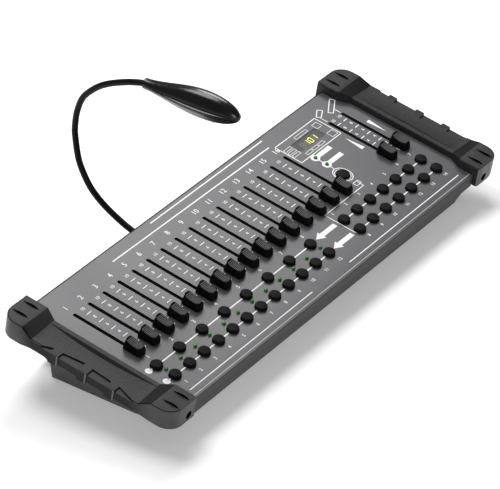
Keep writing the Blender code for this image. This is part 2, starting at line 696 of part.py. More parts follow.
def cheek(name, side, frame):
    """Plastic end moulding: two raised corner blocks, a finger rest with teeth, and a foot."""
    rings = []
    for v, inner, outer, inner_top, outer_top, outer_bottom in cheek_stations():
        rings.append(
            [
                (side * inner, v, CHEEK_BOTTOM),
                (side * outer, v, outer_bottom),
                (side * outer, v, outer_top),
                (side * inner, v, inner_top),
            ]
        )
    bm = bmesh.new()
    add_loft(bm, rings)
    piece = make(name, bm, CHEEK_GREY, frame)

    foot = bmesh.new()
    foot_points = []
    for v in (FOOT_FRONT, FOOT_REAR):
        foot_points += [(side * x, v, table_height(v)) for x in (FOOT_INNER, FOOT_OUTER)]
    upper_points = [
        (FOOT_INNER, FRONT_RAMP[0], CHEEK_BOTTOM + CHEEK_WALL),
        (BLOCK_OUTER - CHEEK_WALL / 2, FRONT_RAMP[0] + CHEEK_WALL, CHEEK_BOTTOM + CHEEK_WALL),
        (MID_OUTER - CHEEK_WALL / 2, TOOTH_FRONTS[2] + TOOTH_LENGTH, TOOTH_BOTTOM),
        (FOOT_INNER, REAR_RAMP[0], CHEEK_BOTTOM + CHEEK_WALL),
    ]
    foot_points += [(side * x, v, h) for x, v, h in upper_points]
    add_hull(foot, foot_points)
    combine(piece, "UNION", name + "_foot", foot)

    teeth = bmesh.new()
    for front in TOOTH_FRONTS:
        xs = sorted((side * (MID_OUTER - CHEEK_WALL), side * TOOTH_OUTER))
        add_box(teeth, (xs[0], front, TOOTH_BOTTOM), (xs[1], front + TOOTH_LENGTH, SHOULDER_TOP))
    combine(piece, "UNION", name + "_teeth", teeth)

    ledges = bmesh.new()
    xs = sorted((side * LEDGE_INNER, side * (TOOTH_OUTER + CUT_OVER)))
    starts = [TOOTH_FRONTS[0] - LEDGE_REACH, *(front + TOOTH_LENGTH for front in TOOTH_FRONTS)]
    ends = [*TOOTH_FRONTS, TOOTH_FRONTS[2] + TOOTH_LENGTH + LEDGE_REACH]
    for start, end in zip(starts, ends):
        add_box(ledges, (xs[0], start, LEDGE_TOP), (xs[1], end, BLOCK_TOP + CUT_OVER))
    combine(piece, "DIFFERENCE", name + "_ledges", ledges)

    hollow = bmesh.new()
    hollow_points = []
    for v in (FOOT_FRONT + CHEEK_WALL, FOOT_REAR - CHEEK_WALL):
        h = table_height(v) + CHEEK_WALL
        hollow_points += [(side * x, v, h) for x in (FOOT_INNER - CUT_OVER, FOOT_OUTER - CHEEK_WALL)]
    hollow_top = CHEEK_BOTTOM - CHEEK_WALL
    for v in (FRONT_RAMP[1] + CHEEK_WALL, FOOT_REAR - CHEEK_WALL):
        for x in (FOOT_INNER - CUT_OVER, BLOCK_INNER + CHEEK_WALL):
            hollow_points.append((side * x, v, hollow_top))
    add_hull(hollow, hollow_points)
    combine(piece, "DIFFERENCE", name + "_hollow", hollow)

    bore = bmesh.new()
    x = side * SCREW_X
    shoulder = CHEEK_FRONT + SCREW_SUNK + SCREW_HEAD + GAP
    add_rod(
        bore,
        SCREW_WELL,
        (x, CHEEK_FRONT - CUT_OVER, SCREW_H),
        (x, shoulder, SCREW_H),
    )
    combine(piece, "DIFFERENCE", name + "_screw_well", bore)
    pilot = bmesh.new()
    add_rod(
        pilot,
        SCREW_SHANK_RADIUS + GAP,
        (x, shoulder - CUT_OVER, SCREW_H),
        (x, shoulder + SCREW_SHANK + GAP, SCREW_H),
        KEY_SEGMENTS // 2,
    )
    combine(piece, "DIFFERENCE", name + "_screw_pilot", pilot)


def cheek_screw(name, side, frame):
    """Sunk screw that holds the cheek's corner, turned about the slope direction."""
    head = CHEEK_FRONT + SCREW_SUNK
    x = side * SCREW_X
    bm = bmesh.new()
    add_rod(bm, SCREW_HEAD_RADIUS, (x, head, SCREW_H), (x, head + SCREW_HEAD, SCREW_H), KEY_SEGMENTS)
    screw = make(name, bm, STEEL, frame)
    shank = bmesh.new()
    add_rod(
        shank,
        SCREW_SHANK_RADIUS,
        (x, head + SCREW_HEAD / 2, SCREW_H),
        (x, head + SCREW_HEAD + SCREW_SHANK, SCREW_H),
        KEY_SEGMENTS // 2,
    )
    combine(screw, "UNION", name + "_shank", shank)


# Base tray and its sockets, upright in the room
def rear_face():
    """Room Y of the tray's rear wall, under the panel's rear edge."""
    return slope_to_room(PANEL_REAR - PANEL_SHEET, -PANEL_SHEET - GAP)[0]


def tray_outline(inset, rise):
    """Side view of the tray, moved in by a sheet thickness and open upwards by a rise."""
    top = -PANEL_SHEET - GAP + rise
    front = PANEL_FRONT + PANEL_SHEET + GAP + inset
    foot = slope_to_room(TRAY_FOOT_FRONT + inset, table_height(TRAY_FOOT_FRONT))[0]
    rear = rear_face() - inset
    rear_v = PANEL_REAR - PANEL_SHEET - inset
    return [
        slope_to_room(front, top),
        slope_to_room(front, TRAY_KNEE),
        (foot, TRAY_LIFT + inset),
        (rear - TRAY_HEEL_RUN, TRAY_LIFT + inset),
        (rear, TRAY_LIFT + TRAY_HEEL_RISE + inset),
        (rear, slope_to_room(rear_v, top)[1]),
    ]


def base_tray():
    bm = bmesh.new()
    add_prism(bm, tray_outline(0.0, 0.0), -TRAY_HALF, TRAY_HALF)
    tray = make("base_tray", bm, TRAY_GREY)
    inside = bmesh.new()
    half = TRAY_HALF - TRAY_SHEET
    add_prism(inside, tray_outline(TRAY_SHEET, CUT_OVER), -half, half)
    combine(tray, "DIFFERENCE", "tray_inside", inside)

    wall = rear_face()
    holes = bmesh.new()
    round_holes = (
        (DMX_X, SOCKET_Z, DMX_BODY_RADIUS),
        (MIDI_X, SOCKET_Z, MIDI_BODY_RADIUS),
        (LAMP_X, LAMP_Z, LAMP_BODY_RADIUS),
    )
    for x, z, radius in round_holes:
        add_rod(
            holes,
            radius + GAP,
            (x, wall - TRAY_SHEET - CUT_OVER, z),
            (x, wall + CUT_OVER, z),
        )
    half_x, half_z = (side / 2 + GAP for side in POWER_BODY)
    add_box(
        holes,
        (POWER_X - half_x, wall - TRAY_SHEET - CUT_OVER, SOCKET_Z - half_z),
        (POWER_X + half_x, wall + CUT_OVER, SOCKET_Z + half_z),
    )
    combine(tray, "DIFFERENCE", "tray_holes", holes)


def round_socket(name, x, flange, body_radius, bore_radius):
    """Panel socket: a square flange outside the wall, a round body through it and a bore."""
    face = rear_face() + GAP
    bm = bmesh.new()
    add_box(
        bm,
        (x - flange[0] / 2, face, SOCKET_Z - flange[1] / 2),
        (x + flange[0] / 2, face + FLANGE_THICK, SOCKET_Z + flange[1] / 2),
    )
    socket = make(name, bm, SOCKET_BLACK)
    body = bmesh.new()
    add_rod(
        body,
        body_radius,
        (x, face + FLANGE_THICK - SOCKET_BODY, SOCKET_Z),
        (x, face + FLANGE_THICK / 2, SOCKET_Z),
    )
    combine(socket, "UNION", name + "_body", body)
    bore = bmesh.new()
    add_rod(
        bore,
        bore_radius,
        (x, face + FLANGE_THICK - SOCKET_BORE, SOCKET_Z),
        (x, face + FLANGE_THICK + CUT_OVER, SOCKET_Z),
    )
    combine(socket, "DIFFERENCE", name + "_bore", bore)


def power_module():
    """Mains inlet with three blades, and a well with pivot holes for the rocker."""
    face = rear_face() + GAP
    front = face + FLANGE_THICK
    bm = bmesh.new()
    half_x, half_z = (side / 2 for side in POWER_FLANGE)
    add_box(
        bm,
        (POWER_X - half_x, face, SOCKET_Z - half_z),
        (POWER_X + half_x, front, SOCKET_Z + half_z),
    )
    module = make("power_inlet", bm, SOCKET_BLACK)
    body = bmesh.new()
    half_x, half_z = (side / 2 for side in POWER_BODY)
    add_box(
        body,
        (POWER_X - half_x, front - POWER_DEPTH, SOCKET_Z - half_z),
        (POWER_X + half_x, front - FLANGE_THICK / 2, SOCKET_Z + half_z),
    )
    combine(module, "UNION", "power_body", body)

    wells = bmesh.new()
    x = POWER_X + INLET_X
    half_x, half_z = (side / 2 for side in INLET_SIZE)
    add_box(
        wells,
        (x - half_x, front - INLET_DEPTH, SOCKET_Z - half_z),
        (x + half_x, front + CUT_OVER, SOCKET_Z + half_z),
    )
    x = POWER_X + ROCKER_X
    half_x = ROCKER_WIDTH / 2 + SLIDE_GAP
    half_z = math.hypot(ROCKER_HEIGHT / 2, ROCKER_RISE) + SLIDE_GAP
    add_box(
        wells,
        (x - half_x, front - ROCKER_WELL, SOCKET_Z - half_z),
        (x + half_x, front + CUT_OVER, SOCKET_Z + half_z),
    )
    combine(module, "DIFFERENCE", "power_wells", wells)

    blades = bmesh.new()
    x = POWER_X + INLET_X
    for offset, rise in ((-BLADE_SPREAD, -1.0), (0.0, 1.0), (BLADE_SPREAD, -1.0)):
        z = SOCKET_Z + rise * BLADE_SIZE[1] / 2
        add_box(
            blades,
            (x + offset - BLADE_SIZE[0] / 2, front - INLET_DEPTH - GAP, z - BLADE_SIZE[1] / 2),
            (x + offset + BLADE_SIZE[0] / 2, front - INLET_DEPTH + BLADE_SIZE[2], z + BLADE_SIZE[1] / 2),
        )
    combine(module, "UNION", "power_blades", blades)

    pivots = bmesh.new()
    reach = ROCKER_WIDTH / 2 + TRUNNION_REACH + SLIDE_GAP
    x = POWER_X + ROCKER_X
    add_rod(
        pivots,
        TRUNNION_RADIUS + GAP,
        (x - reach, front - ROCKER_DEPTH, SOCKET_Z),
        (x + reach, front - ROCKER_DEPTH, SOCKET_Z),
    )
    combine(module, "DIFFERENCE", "power_pivots", pivots)


def power_rocker():
    """Rocker cap on two trunnions, tipped to its off side."""
    half = ROCKER_HEIGHT / 2
    outline = [
        (ROCKER_RISE, half),
        (ROCKER_RISE - ROCKER_DISH, 0.0),
        (ROCKER_RISE, -half),
        (0.0, -half),
        (-ROCKER_RISE, -half / 2),
        (-ROCKER_RISE, half / 2),
        (0.0, half),
    ]
    bm = bmesh.new()
    add_prism(bm, outline, -ROCKER_WIDTH / 2, ROCKER_WIDTH / 2)
    bmesh.ops.rotate(bm, verts=bm.verts, matrix=Matrix.Rotation(ROCKER_THROW / 2, 3, "X"))
    pivot_y = rear_face() + GAP + FLANGE_THICK - ROCKER_DEPTH
    rocker = make("power_rocker", bm, KEY_BLACK, None, (POWER_X + ROCKER_X, pivot_y, SOCKET_Z))
    trunnions = bmesh.new()
    reach = ROCKER_WIDTH / 2 + TRUNNION_REACH
    add_rod(trunnions, TRUNNION_RADIUS, (-reach, 0.0, 0.0), (reach, 0.0, 0.0))
    combine(rocker, "UNION", "rocker_trunnions", trunnions)


# Gooseneck lamp
def lamp_socket():
    face = rear_face() + GAP
    bm = bmesh.new()
    add_rod(
        bm,
        LAMP_FLANGE_RADIUS,
        (LAMP_X, face, LAMP_Z),
        (LAMP_X, face + FLANGE_THICK, LAMP_Z),
    )
    socket = make("lamp_socket", bm, STEEL)
    body = bmesh.new()
    add_rod(
        body,
        LAMP_BODY_RADIUS,
        (LAMP_X, face + FLANGE_THICK - LAMP_BODY, LAMP_Z),
        (LAMP_X, face + FLANGE_THICK / 2, LAMP_Z),
    )
    combine(socket, "UNION", "lamp_socket_body", body)
    bore = bmesh.new()
    add_rod(
        bore,
        PLUG_RADIUS + PLUG_FIT,
        (LAMP_X, face + FLANGE_THICK - PLUG_LENGTH - GAP, LAMP_Z),
        (LAMP_X, face + FLANGE_THICK + CUT_OVER, LAMP_Z),
    )
    combine(socket, "DIFFERENCE", "lamp_socket_bore", bore)


def neck_rings(points, origin):
    """Circles square to a path in the lamp's plane, about an origin on it."""
    path = [Vector((0.0, PANEL_Y + y * MM, z * MM)) - origin for y, z in points]
    rings = []
    for i, point in enumerate(path):
        ahead = path[min(i + 1, len(path) - 1)]
        behind = path[max(i - 1, 0)]
        along = (ahead - behind).normalized()
        across = Vector((1.0, 0.0, 0.0))
        upright = along.cross(across)
        ring = []
        for k in range(NECK_SEGMENTS):
            angle = 2 * math.pi * k / NECK_SEGMENTS
            offset = across * math.cos(angle) + upright * math.sin(angle)
            ring.append(point + offset * NECK_RADIUS)
        rings.append(ring)
    return rings


def gooseneck():
    """Lower neck on its plug, ending in a ball, and the upper neck that bends on it."""
    face = rear_face() + GAP + FLANGE_THICK
    pivot = Vector((0.0, PANEL_Y + NECK_PIVOT[0] * MM, NECK_PIVOT[1] * MM))
    collar_end = PANEL_Y + LOWER_NECK[0][0] * MM
    bm = bmesh.new()
    add_loft(bm, neck_rings((*LOWER_NECK, NECK_PIVOT), Vector()))
    lower = make("gooseneck_lower", bm, LAMP_BLACK, None, (LAMP_X, 0.0, 0.0))
    ball = bmesh.new()
    bmesh.ops.create_icosphere(
        ball,
        subdivisions=2,
        radius=NECK_BALL,
        matrix=Matrix.Translation(pivot),
    )
    combine(lower, "UNION", "neck_ball", ball)
    collar = bmesh.new()
    add_rod(collar, COLLAR_RADIUS, (0.0, face + GAP, LAMP_Z), (0.0, collar_end + GAP, LAMP_Z))
    combine(lower, "UNION", "neck_collar", collar)
    plug = bmesh.new()
    add_rod(plug, PLUG_RADIUS, (0.0, face - PLUG_LENGTH, LAMP_Z), (0.0, face + 2 * GAP, LAMP_Z))
    combine(lower, "UNION", "neck_plug", plug)

    entry_y = (HEAD_REAR - PANEL_Y) / MM
    entry_z = HEAD_Z / MM - NECK_RADIUS / MM / 5
    run_in = [(entry_y + back, entry_z - drop) for back, drop in RUN_IN]
    end = (entry_y - (NECK_INSERT - GAP) / MM, entry_z)
    bm = bmesh.new()
    add_loft(bm, neck_rings((NECK_PIVOT, *UPPER_NECK, *run_in, end), pivot))
    upper = make("gooseneck_upper", bm, LAMP_BLACK, None, (LAMP_X, pivot.y, pivot.z))
    cup = bmesh.new()
    bmesh.ops.create_icosphere(cup, subdivisions=2, radius=NECK_BALL + 2 * GAP)
    combine(upper, "DIFFERENCE", "neck_cup", cup)


def head_ring(share):
    """Ellipse of the lamp head at a share of its length from the neck."""
    if share < HEAD_WIDEST:
        part = share / HEAD_WIDEST
        swell = math.sin(part * math.pi / 2) ** 1.25
        neck = HEAD_NECK_RADIUS
    else:
        part = (share - HEAD_WIDEST) / (1.0 - HEAD_WIDEST)
        swell = math.sqrt(max(0.0, 1.0 - part ** 2))
        neck = 0.1 * HEAD_NECK_RADIUS
    half_x = neck + (HEAD_HALF_WIDTH - neck) * swell
    crown = neck + (HEAD_CROWN - neck) * swell
    belly = neck + (HEAD_BELLY - neck) * swell
    y = HEAD_REAR - HEAD_LENGTH * share
    middle = (0.0, HEAD_Z + HEAD_RISE * share)
    points = arc(middle, (half_x, crown), 0, 180, 8)[:-1] + arc(middle, (half_x, belly), 180, 360, 8)[:-1]
    return [(x, y, z) for x, z in points]


def lamp_head():
    bm = bmesh.new()
    add_loft(bm, [head_ring(i / HEAD_RINGS) for i in range(HEAD_RINGS + 1)])
    head = make("lamp_housing", bm, LAMP_BLACK, None, (LAMP_X, 0.0, 0.0))
    socket = bmesh.new()
    add_rod(
        socket,
        NECK_RADIUS + 2 * GAP,
        (0.0, HEAD_REAR - NECK_INSERT, HEAD_Z - NECK_RADIUS / 5),
        (0.0, HEAD_REAR + CUT_OVER, HEAD_Z - NECK_RADIUS / 5),
    )
    combine(head, "DIFFERENCE", "head_socket", socket)
    middle = HEAD_REAR - HEAD_LENGTH * HEAD_WIDEST
    low = HEAD_Z + HEAD_RISE * HEAD_WIDEST - HEAD_BELLY
    pocket = bmesh.new()
    half_x, half_y = LENS_SIZE[0] / 2, LENS_SIZE[1] / 2
    add_box(
        pocket,
        (-half_x - GAP, middle - half_y - GAP, low - CUT_OVER),
        (half_x + GAP, middle + half_y + GAP, low + LENS_SUNK + LENS_SIZE[2] + GAP),
    )
    combine(head, "DIFFERENCE", "head_pocket", pocket)
    lens = bmesh.new()
    add_box(
        lens,
        (-half_x, middle - half_y, low + LENS_SUNK),
        (half_x, middle + half_y, low + LENS_SUNK + LENS_SIZE[2]),
    )
    make("lamp_lens", lens, LENS_CLEAR, None, (LAMP_X, 0.0, 0.0))


# The desk
def build():
    for old in list(bpy.data.objects):
        bpy.data.objects.remove(old, do_unlink=True)
    frame = bpy.data.objects.new("panel_frame", None)
    bpy.context.scene.collection.objects.link(frame)
    frame.location = (0.0, PANEL_Y, PANEL_Z)
    frame.rotation_euler = (PANEL_TILT, 0.0, 0.0)

    face_panel(frame)
    for i, x in enumerate(CENTRE_FADERS):
        fader(f"channel_fader_{i + 1:02d}", x, frame)
    fader("speed_fader", SPEED_FADER_X, frame)
    fader("fade_time_fader", SPEED_FADER_X + PITCH, frame)
    for i, centre in enumerate(SCENE_CENTRES):
        key(f"scene_button_{i + 1}", centre, frame)
    for i, centre in enumerate(SCANNER_CENTRES):
        key(f"scanner_button_{i + 1:02d}", centre, frame)
    key("page_button", PAGE_CENTRE, frame)
    key_strip("function_keys_upper", UPPER_CENTRES, frame)
    key_strip("function_keys_lower", LOWER_CENTRES, frame)
    fader_board(frame)
    key_board(frame)
    display(frame)
    for word, side in (("left", -1), ("right", 1)):
        cheek(f"{word}_cheek", side, frame)
        cheek_screw(f"{word}_cheek_screw", side, frame)

    base_tray()
    round_socket("dmx_socket", DMX_X, DMX_FLANGE, DMX_BODY_RADIUS, DMX_BORE_RADIUS)
    round_socket("midi_socket", MIDI_X, MIDI_FLANGE, MIDI_BODY_RADIUS, MIDI_BORE_RADIUS)
    power_module()
    power_rocker()
    lamp_socket()
    gooseneck()
    lamp_head()


build()
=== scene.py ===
"""Dresses the lighting control desk: paint, print, moulded plastic, lamp and studio stage."""

import json
import math

import bmesh
import bpy
from bpy.props import FloatProperty, FloatVectorProperty, PointerProperty
from mathutils import Matrix, Vector


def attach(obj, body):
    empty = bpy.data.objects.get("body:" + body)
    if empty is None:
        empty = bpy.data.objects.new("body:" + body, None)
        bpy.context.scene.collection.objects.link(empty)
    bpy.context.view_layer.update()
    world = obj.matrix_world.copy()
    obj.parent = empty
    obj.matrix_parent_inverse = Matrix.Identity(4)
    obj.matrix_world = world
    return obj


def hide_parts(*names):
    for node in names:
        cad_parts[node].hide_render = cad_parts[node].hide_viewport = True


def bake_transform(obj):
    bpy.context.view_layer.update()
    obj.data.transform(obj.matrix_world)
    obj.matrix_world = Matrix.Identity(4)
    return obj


bl_info = {
    "name": "Lighting Control Desk",
    "version": (1, 0, 0),
    "blender": (4, 5, 0),
    "location": "View3D > Sidebar > Desk",
    "description": "Builds the dressed lighting control desk and its studio stage",
    "category": "Add Mesh",
}

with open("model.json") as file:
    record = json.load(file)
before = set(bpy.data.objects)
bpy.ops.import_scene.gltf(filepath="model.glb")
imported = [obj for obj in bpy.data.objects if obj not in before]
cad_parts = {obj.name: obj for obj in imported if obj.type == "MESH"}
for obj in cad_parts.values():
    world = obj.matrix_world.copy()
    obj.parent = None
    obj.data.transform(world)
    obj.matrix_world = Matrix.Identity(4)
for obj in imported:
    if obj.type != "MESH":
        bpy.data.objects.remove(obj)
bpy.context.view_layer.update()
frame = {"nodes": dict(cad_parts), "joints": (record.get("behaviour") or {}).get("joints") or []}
JOINTS = {joint["name"]: joint for joint in frame["joints"]}
FADER_AXIS = JOINTS["channel_fader_01_slide"]["axis"]
MM = 0.001
ROOM = Matrix.Scale(MM, 4)

# Finish numbers of a moulding's faces; 0 is the piece's own finish
RAMP_AND_RECESS_SHADE, LIT_WALL, SHADED_FACET, EDGE_HIGHLIGHT, SLOT_SHADE = range(1, 6)
FINISH_SLOTS = 6
SHARP_ANGLE = math.radians(32.0)


# Sizes and colours that a user would change
class DeskSizes(bpy.types.PropertyGroup):
    """Lengths in metres, measured on the desk."""

    tilt: FloatProperty(
        name="Panel slope", description="Angle of the face panel to the table",
        default=math.atan2(FADER_AXIS[2], FADER_AXIS[1]),
        subtype="ANGLE",
    )
    slope_y: FloatProperty(
        name="Slope origin depth",
        description="Y of the rear ends of the fader slots, on the panel's face",
        default=14.357 * MM, unit="LENGTH",
    )
    slope_z: FloatProperty(
        name="Slope origin height",
        description="Z of the rear ends of the fader slots, on the panel's face",
        default=57.6 * MM, unit="LENGTH",
    )
    button_radius: FloatProperty(
        name="Button radius", description="Radius of a push button's cap",
        default=5.6 * MM, unit="LENGTH",
    )
    neck_radius: FloatProperty(
        name="Neck radius", description="Radius of the lamp's flexible neck",
        default=3.0 * MM, unit="LENGTH",
    )


class DeskColours(bpy.types.PropertyGroup):
    """Base colours of the finishes."""

    panel: FloatVectorProperty(
        name="Panel paint", description="Satin grey of the face panel",
        default=(0.073, 0.069, 0.075), subtype="COLOR",
    )
    tray: FloatVectorProperty(
        name="Tray paint", description="Powder coat of the base tray",
        default=(0.040, 0.039, 0.041), subtype="COLOR",
    )
    cheek: FloatVectorProperty(
        name="Cheek plastic", description="Textured plastic of the end cheeks",
        default=(0.020, 0.020, 0.020), subtype="COLOR",
    )
    # Also painted shade in the cheeks' recesses: ledge walls, parting-line grooves and screw wells
    ramp: FloatVectorProperty(
        name="Cheek ramps and recess shade",
        description="Smooth slopes between the cheeks' corner blocks and finger rests",
        default=(0.006, 0.006, 0.006), subtype="COLOR",
    )
    # The lighter wall colour stands in for light on the cheeks' outer walls: painted light
    wall: FloatVectorProperty(
        name="Lit cheek walls", description="Satin outer walls of the cheeks",
        default=(0.045, 0.045, 0.046), subtype="COLOR",
    )
    knob: FloatVectorProperty(
        name="Fader caps", description="Black plastic of the fader caps",
        default=(0.004, 0.004, 0.004), subtype="COLOR",
    )
    button: FloatVectorProperty(
        name="Buttons", description="Dark plastic of the push buttons",
        default=(0.0055, 0.0055, 0.0055), subtype="COLOR",
    )
    ink: FloatVectorProperty(
        name="Print", description="White ink on the panel",
        default=(0.88, 0.88, 0.88), subtype="COLOR",
    )
    lamp: FloatVectorProperty(
        name="Lamp", description="Glossy black of the lamp's head and neck",
        default=(0.003, 0.003, 0.003), subtype="COLOR",
    )


# Shapes, all drawn in millimetres
def add_box(bm, low, high):
    size = Vector(high) - Vector(low)
    centre = (Vector(high) + Vector(low)) / 2
    place = Matrix.Translation(centre) @ Matrix.Diagonal((*size, 1.0))
    bmesh.ops.create_cube(bm, size=1.0, matrix=place)


def add_rod(bm, radius, start, end, segments):
    start, end = Vector(start), Vector(end)
    turn = (end - start).to_track_quat("Z", "Y").to_matrix().to_4x4()
    place = Matrix.Translation((start + end) / 2) @ turn
    sizes = {"radius1": radius, "radius2": radius, "depth": (end - start).length}
    bmesh.ops.create_cone(bm, cap_ends=True, segments=segments, matrix=place, **sizes)


def push(bm, face, offset):
    swept = bmesh.ops.extrude_face_region(bm, geom=[face])["geom"]
    corners = [item for item in swept if isinstance(item, bmesh.types.BMVert)]
    bmesh.ops.translate(bm, verts=corners, vec=offset)


def add_plate(bm, outline, low, high):
    """An outline of (x, y) points, raised from one height to another."""
    push(bm, bm.faces.new([bm.verts.new((x, y, low)) for x, y in outline]), (0.0, 0.0, high - low))


def add_strip(bm, outline, low, high):
    """An outline of (y, z) points, swept along x."""
    push(bm, bm.faces.new([bm.verts.new((low, y, z)) for y, z in outline]), (high - low, 0.0, 0.0))


def add_patch(bm, outline, height):
    """A flat printed shape."""
    bm.faces.new([bm.verts.new((x, y, height)) for x, y in outline])


def add_turned(bm, profile, place, segments=40):
    """A profile of (radius, height) points, from axis to axis, turned about the place's Z."""
    points = [bm.verts.new((radius, 0.0, height)) for radius, height in profile]
    edges = [bm.edges.new(pair) for pair in zip(points, points[1:])]
    bmesh.ops.spin(
        bm,
        geom=[*points, *edges],
        cent=(0.0, 0.0, 0.0),
        axis=(0.0, 0.0, 1.0),
        angle=2 * math.pi,
        steps=segments,
        use_merge=True,
    )
    made = connected(points[0])
    bmesh.ops.remove_doubles(bm, verts=made, dist=1e-4)
    bmesh.ops.transform(bm, matrix=place, verts=[vert for vert in made if vert.is_valid])


def connected(start):
    found = {start}
    waiting = [start]
    while waiting:
        for edge in waiting.pop().link_edges:
            for vert in edge.verts:
                if vert not in found:
                    found.add(vert)
                    waiting.append(vert)
    return list(found)


def rough(vert):
    return tuple(round(part, 4) for part in vert.co)


def add_loft(bm, rings):
    """Extrudes a face from ring to ring; every ring has the same number of points."""
    face = bm.faces.new([bm.verts.new(point) for point in rings[0]])
    order = {rough(vert): i for i, vert in enumerate(face.verts)}
    for count, ring in enumerate(rings[1:]):
        swept = bmesh.ops.extrude_face_region(bm, geom=[face])["geom"]
        if count:
            bmesh.ops.delete(bm, geom=[face], context="FACES_ONLY")
        face = next(item for item in swept if isinstance(item, bmesh.types.BMFace))
        places = [order[rough(vert)] for vert in face.verts]
        order = {}
        for vert, i in zip(face.verts, places):
            vert.co = ring[i]
            order[rough(vert)] = i
    return bm


def arc(centre, radii, first, last, steps):
    points = []
    for i in range(steps + 1):
        angle = math.radians(first + (last - first) * i / steps)
        x, y = radii[0] * math.cos(angle), radii[1] * math.sin(angle)
        points.append((centre[0] + x, centre[1] + y))
    return points


def rounded(low, high, radius, steps):
    """A rectangle with rounded corners, anticlockwise."""
    corners = (
        (high[0] - radius, low[1] + radius, -90),
        (high[0] - radius, high[1] - radius, 0),
        (low[0] + radius, high[1] - radius, 90),
        (low[0] + radius, low[1] + radius, 180),
    )
    points = []
    for x, y, first in corners:
        points += arc((x, y), (radius, radius), first, first + 90, steps)
    return points


def smooth_path(points, steps):
    """Points on a smooth line through the given ones."""
    ends = [2 * points[0] - points[1], *points, 2 * points[-1] - points[-2]]
    path = []
    for a, b, c, d in zip(ends, ends[1:], ends[2:], ends[3:]):
        for i in range(steps):
            t = i / steps
            low_terms = 2 * b + (c - a) * t + (2 * a - 5 * b + 4 * c - d) * t * t
            path.append(0.5 * (low_terms + (3 * b - a - 3 * c + d) * t ** 3))
    return [*path, points[-1]]


def mark(bm, number):
    """Gives every face a finish number."""
    for face in bm.faces:
        face.material_index = number


def new_object(name, bm):
    """An object with the shape as its mesh."""
    mesh = bpy.data.meshes.new(name)
    bm.to_mesh(mesh)
    bm.free()
    made = bpy.data.objects.new(name, mesh)
    bpy.context.scene.collection.objects.link(made)
    return made


def work_object(bm):
    """A helper whose empty slots keep the finish numbers of its faces through a Boolean."""
    bmesh.ops.recalc_face_normals(bm, faces=bm.faces)
    helper = new_object("work", bm)
    for _ in range(FINISH_SLOTS):
        helper.data.materials.append(None)
    return helper


def carve(base, tool, operation="DIFFERENCE"):
    """The base with the tool's shape cut out of it, or joined to it."""
    body, cutter = work_object(base), work_object(tool)
    modifier = body.modifiers.new("carve", "BOOLEAN")
    modifier.operation = operation
    modifier.solver = "EXACT"
    modifier.object = cutter
    graph = bpy.context.evaluated_depsgraph_get()
    result = bmesh.new()
    evaluated = body.evaluated_get(graph)
    result.from_mesh(evaluated.to_mesh())
    evaluated.to_mesh_clear()
    for helper in (body, cutter):
        mesh = helper.data
        bpy.data.objects.remove(helper)
        bpy.data.meshes.remove(mesh)
    return result


def soften(bm, width, segments, angle):
    """Rounds every edge that is sharper than an angle."""
    bmesh.ops.remove_doubles(bm, verts=bm.verts, dist=1e-3)
    limit = math.radians(0.5)
    bmesh.ops.dissolve_limit(bm, angle_limit=limit, verts=bm.verts, edges=bm.edges)
    bmesh.ops.bevel(
        bm,
        geom=[edge for edge in bm.edges if edge.calc_face_angle(0.0) > math.radians(angle)],
        offset=width,
        offset_type="OFFSET",
        affect="EDGES",
        segments=segments,
        profile=0.5,
        material=-1,
        clamp_overlap=True,
    )


def piece(name, bm, body, look, place=ROOM, stands_for=()):
    """A finished piece: placed in the room, shaded, and riding on a body."""
    bm.transform(place)
    bmesh.ops.recalc_face_normals(bm, faces=bm.faces)
    return flat_piece(name, bm, body, look, stands_for)


def flat_piece(name, bm, body, look, stands_for=()):
    """A piece that is in place already, with its faces turned the right way."""
    for face in bm.faces:
        face.smooth = True
    for edge in bm.edges:
        edge.smooth = edge.calc_face_angle(0.0) < SHARP_ANGLE
    made = new_object(name, bm)
    made.data.materials.append(look)
    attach(made, body)
    if stands_for:
        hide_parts(*stands_for)
    return made


def dress(node, look):
    """Gives a CAD solid that stays in view a finish."""
    mesh = frame["nodes"][node].data
    mesh.materials.clear()
    mesh.materials.append(look)


def slope_place():
    """From millimetres across, up and out of the panel to metres in the room."""
    sizes = bpy.context.scene.desk_sizes
    lift = Matrix.Translation((0.0, sizes.slope_y, sizes.slope_z))
    return lift @ Matrix.Rotation(sizes.tilt, 4, "X") @ ROOM


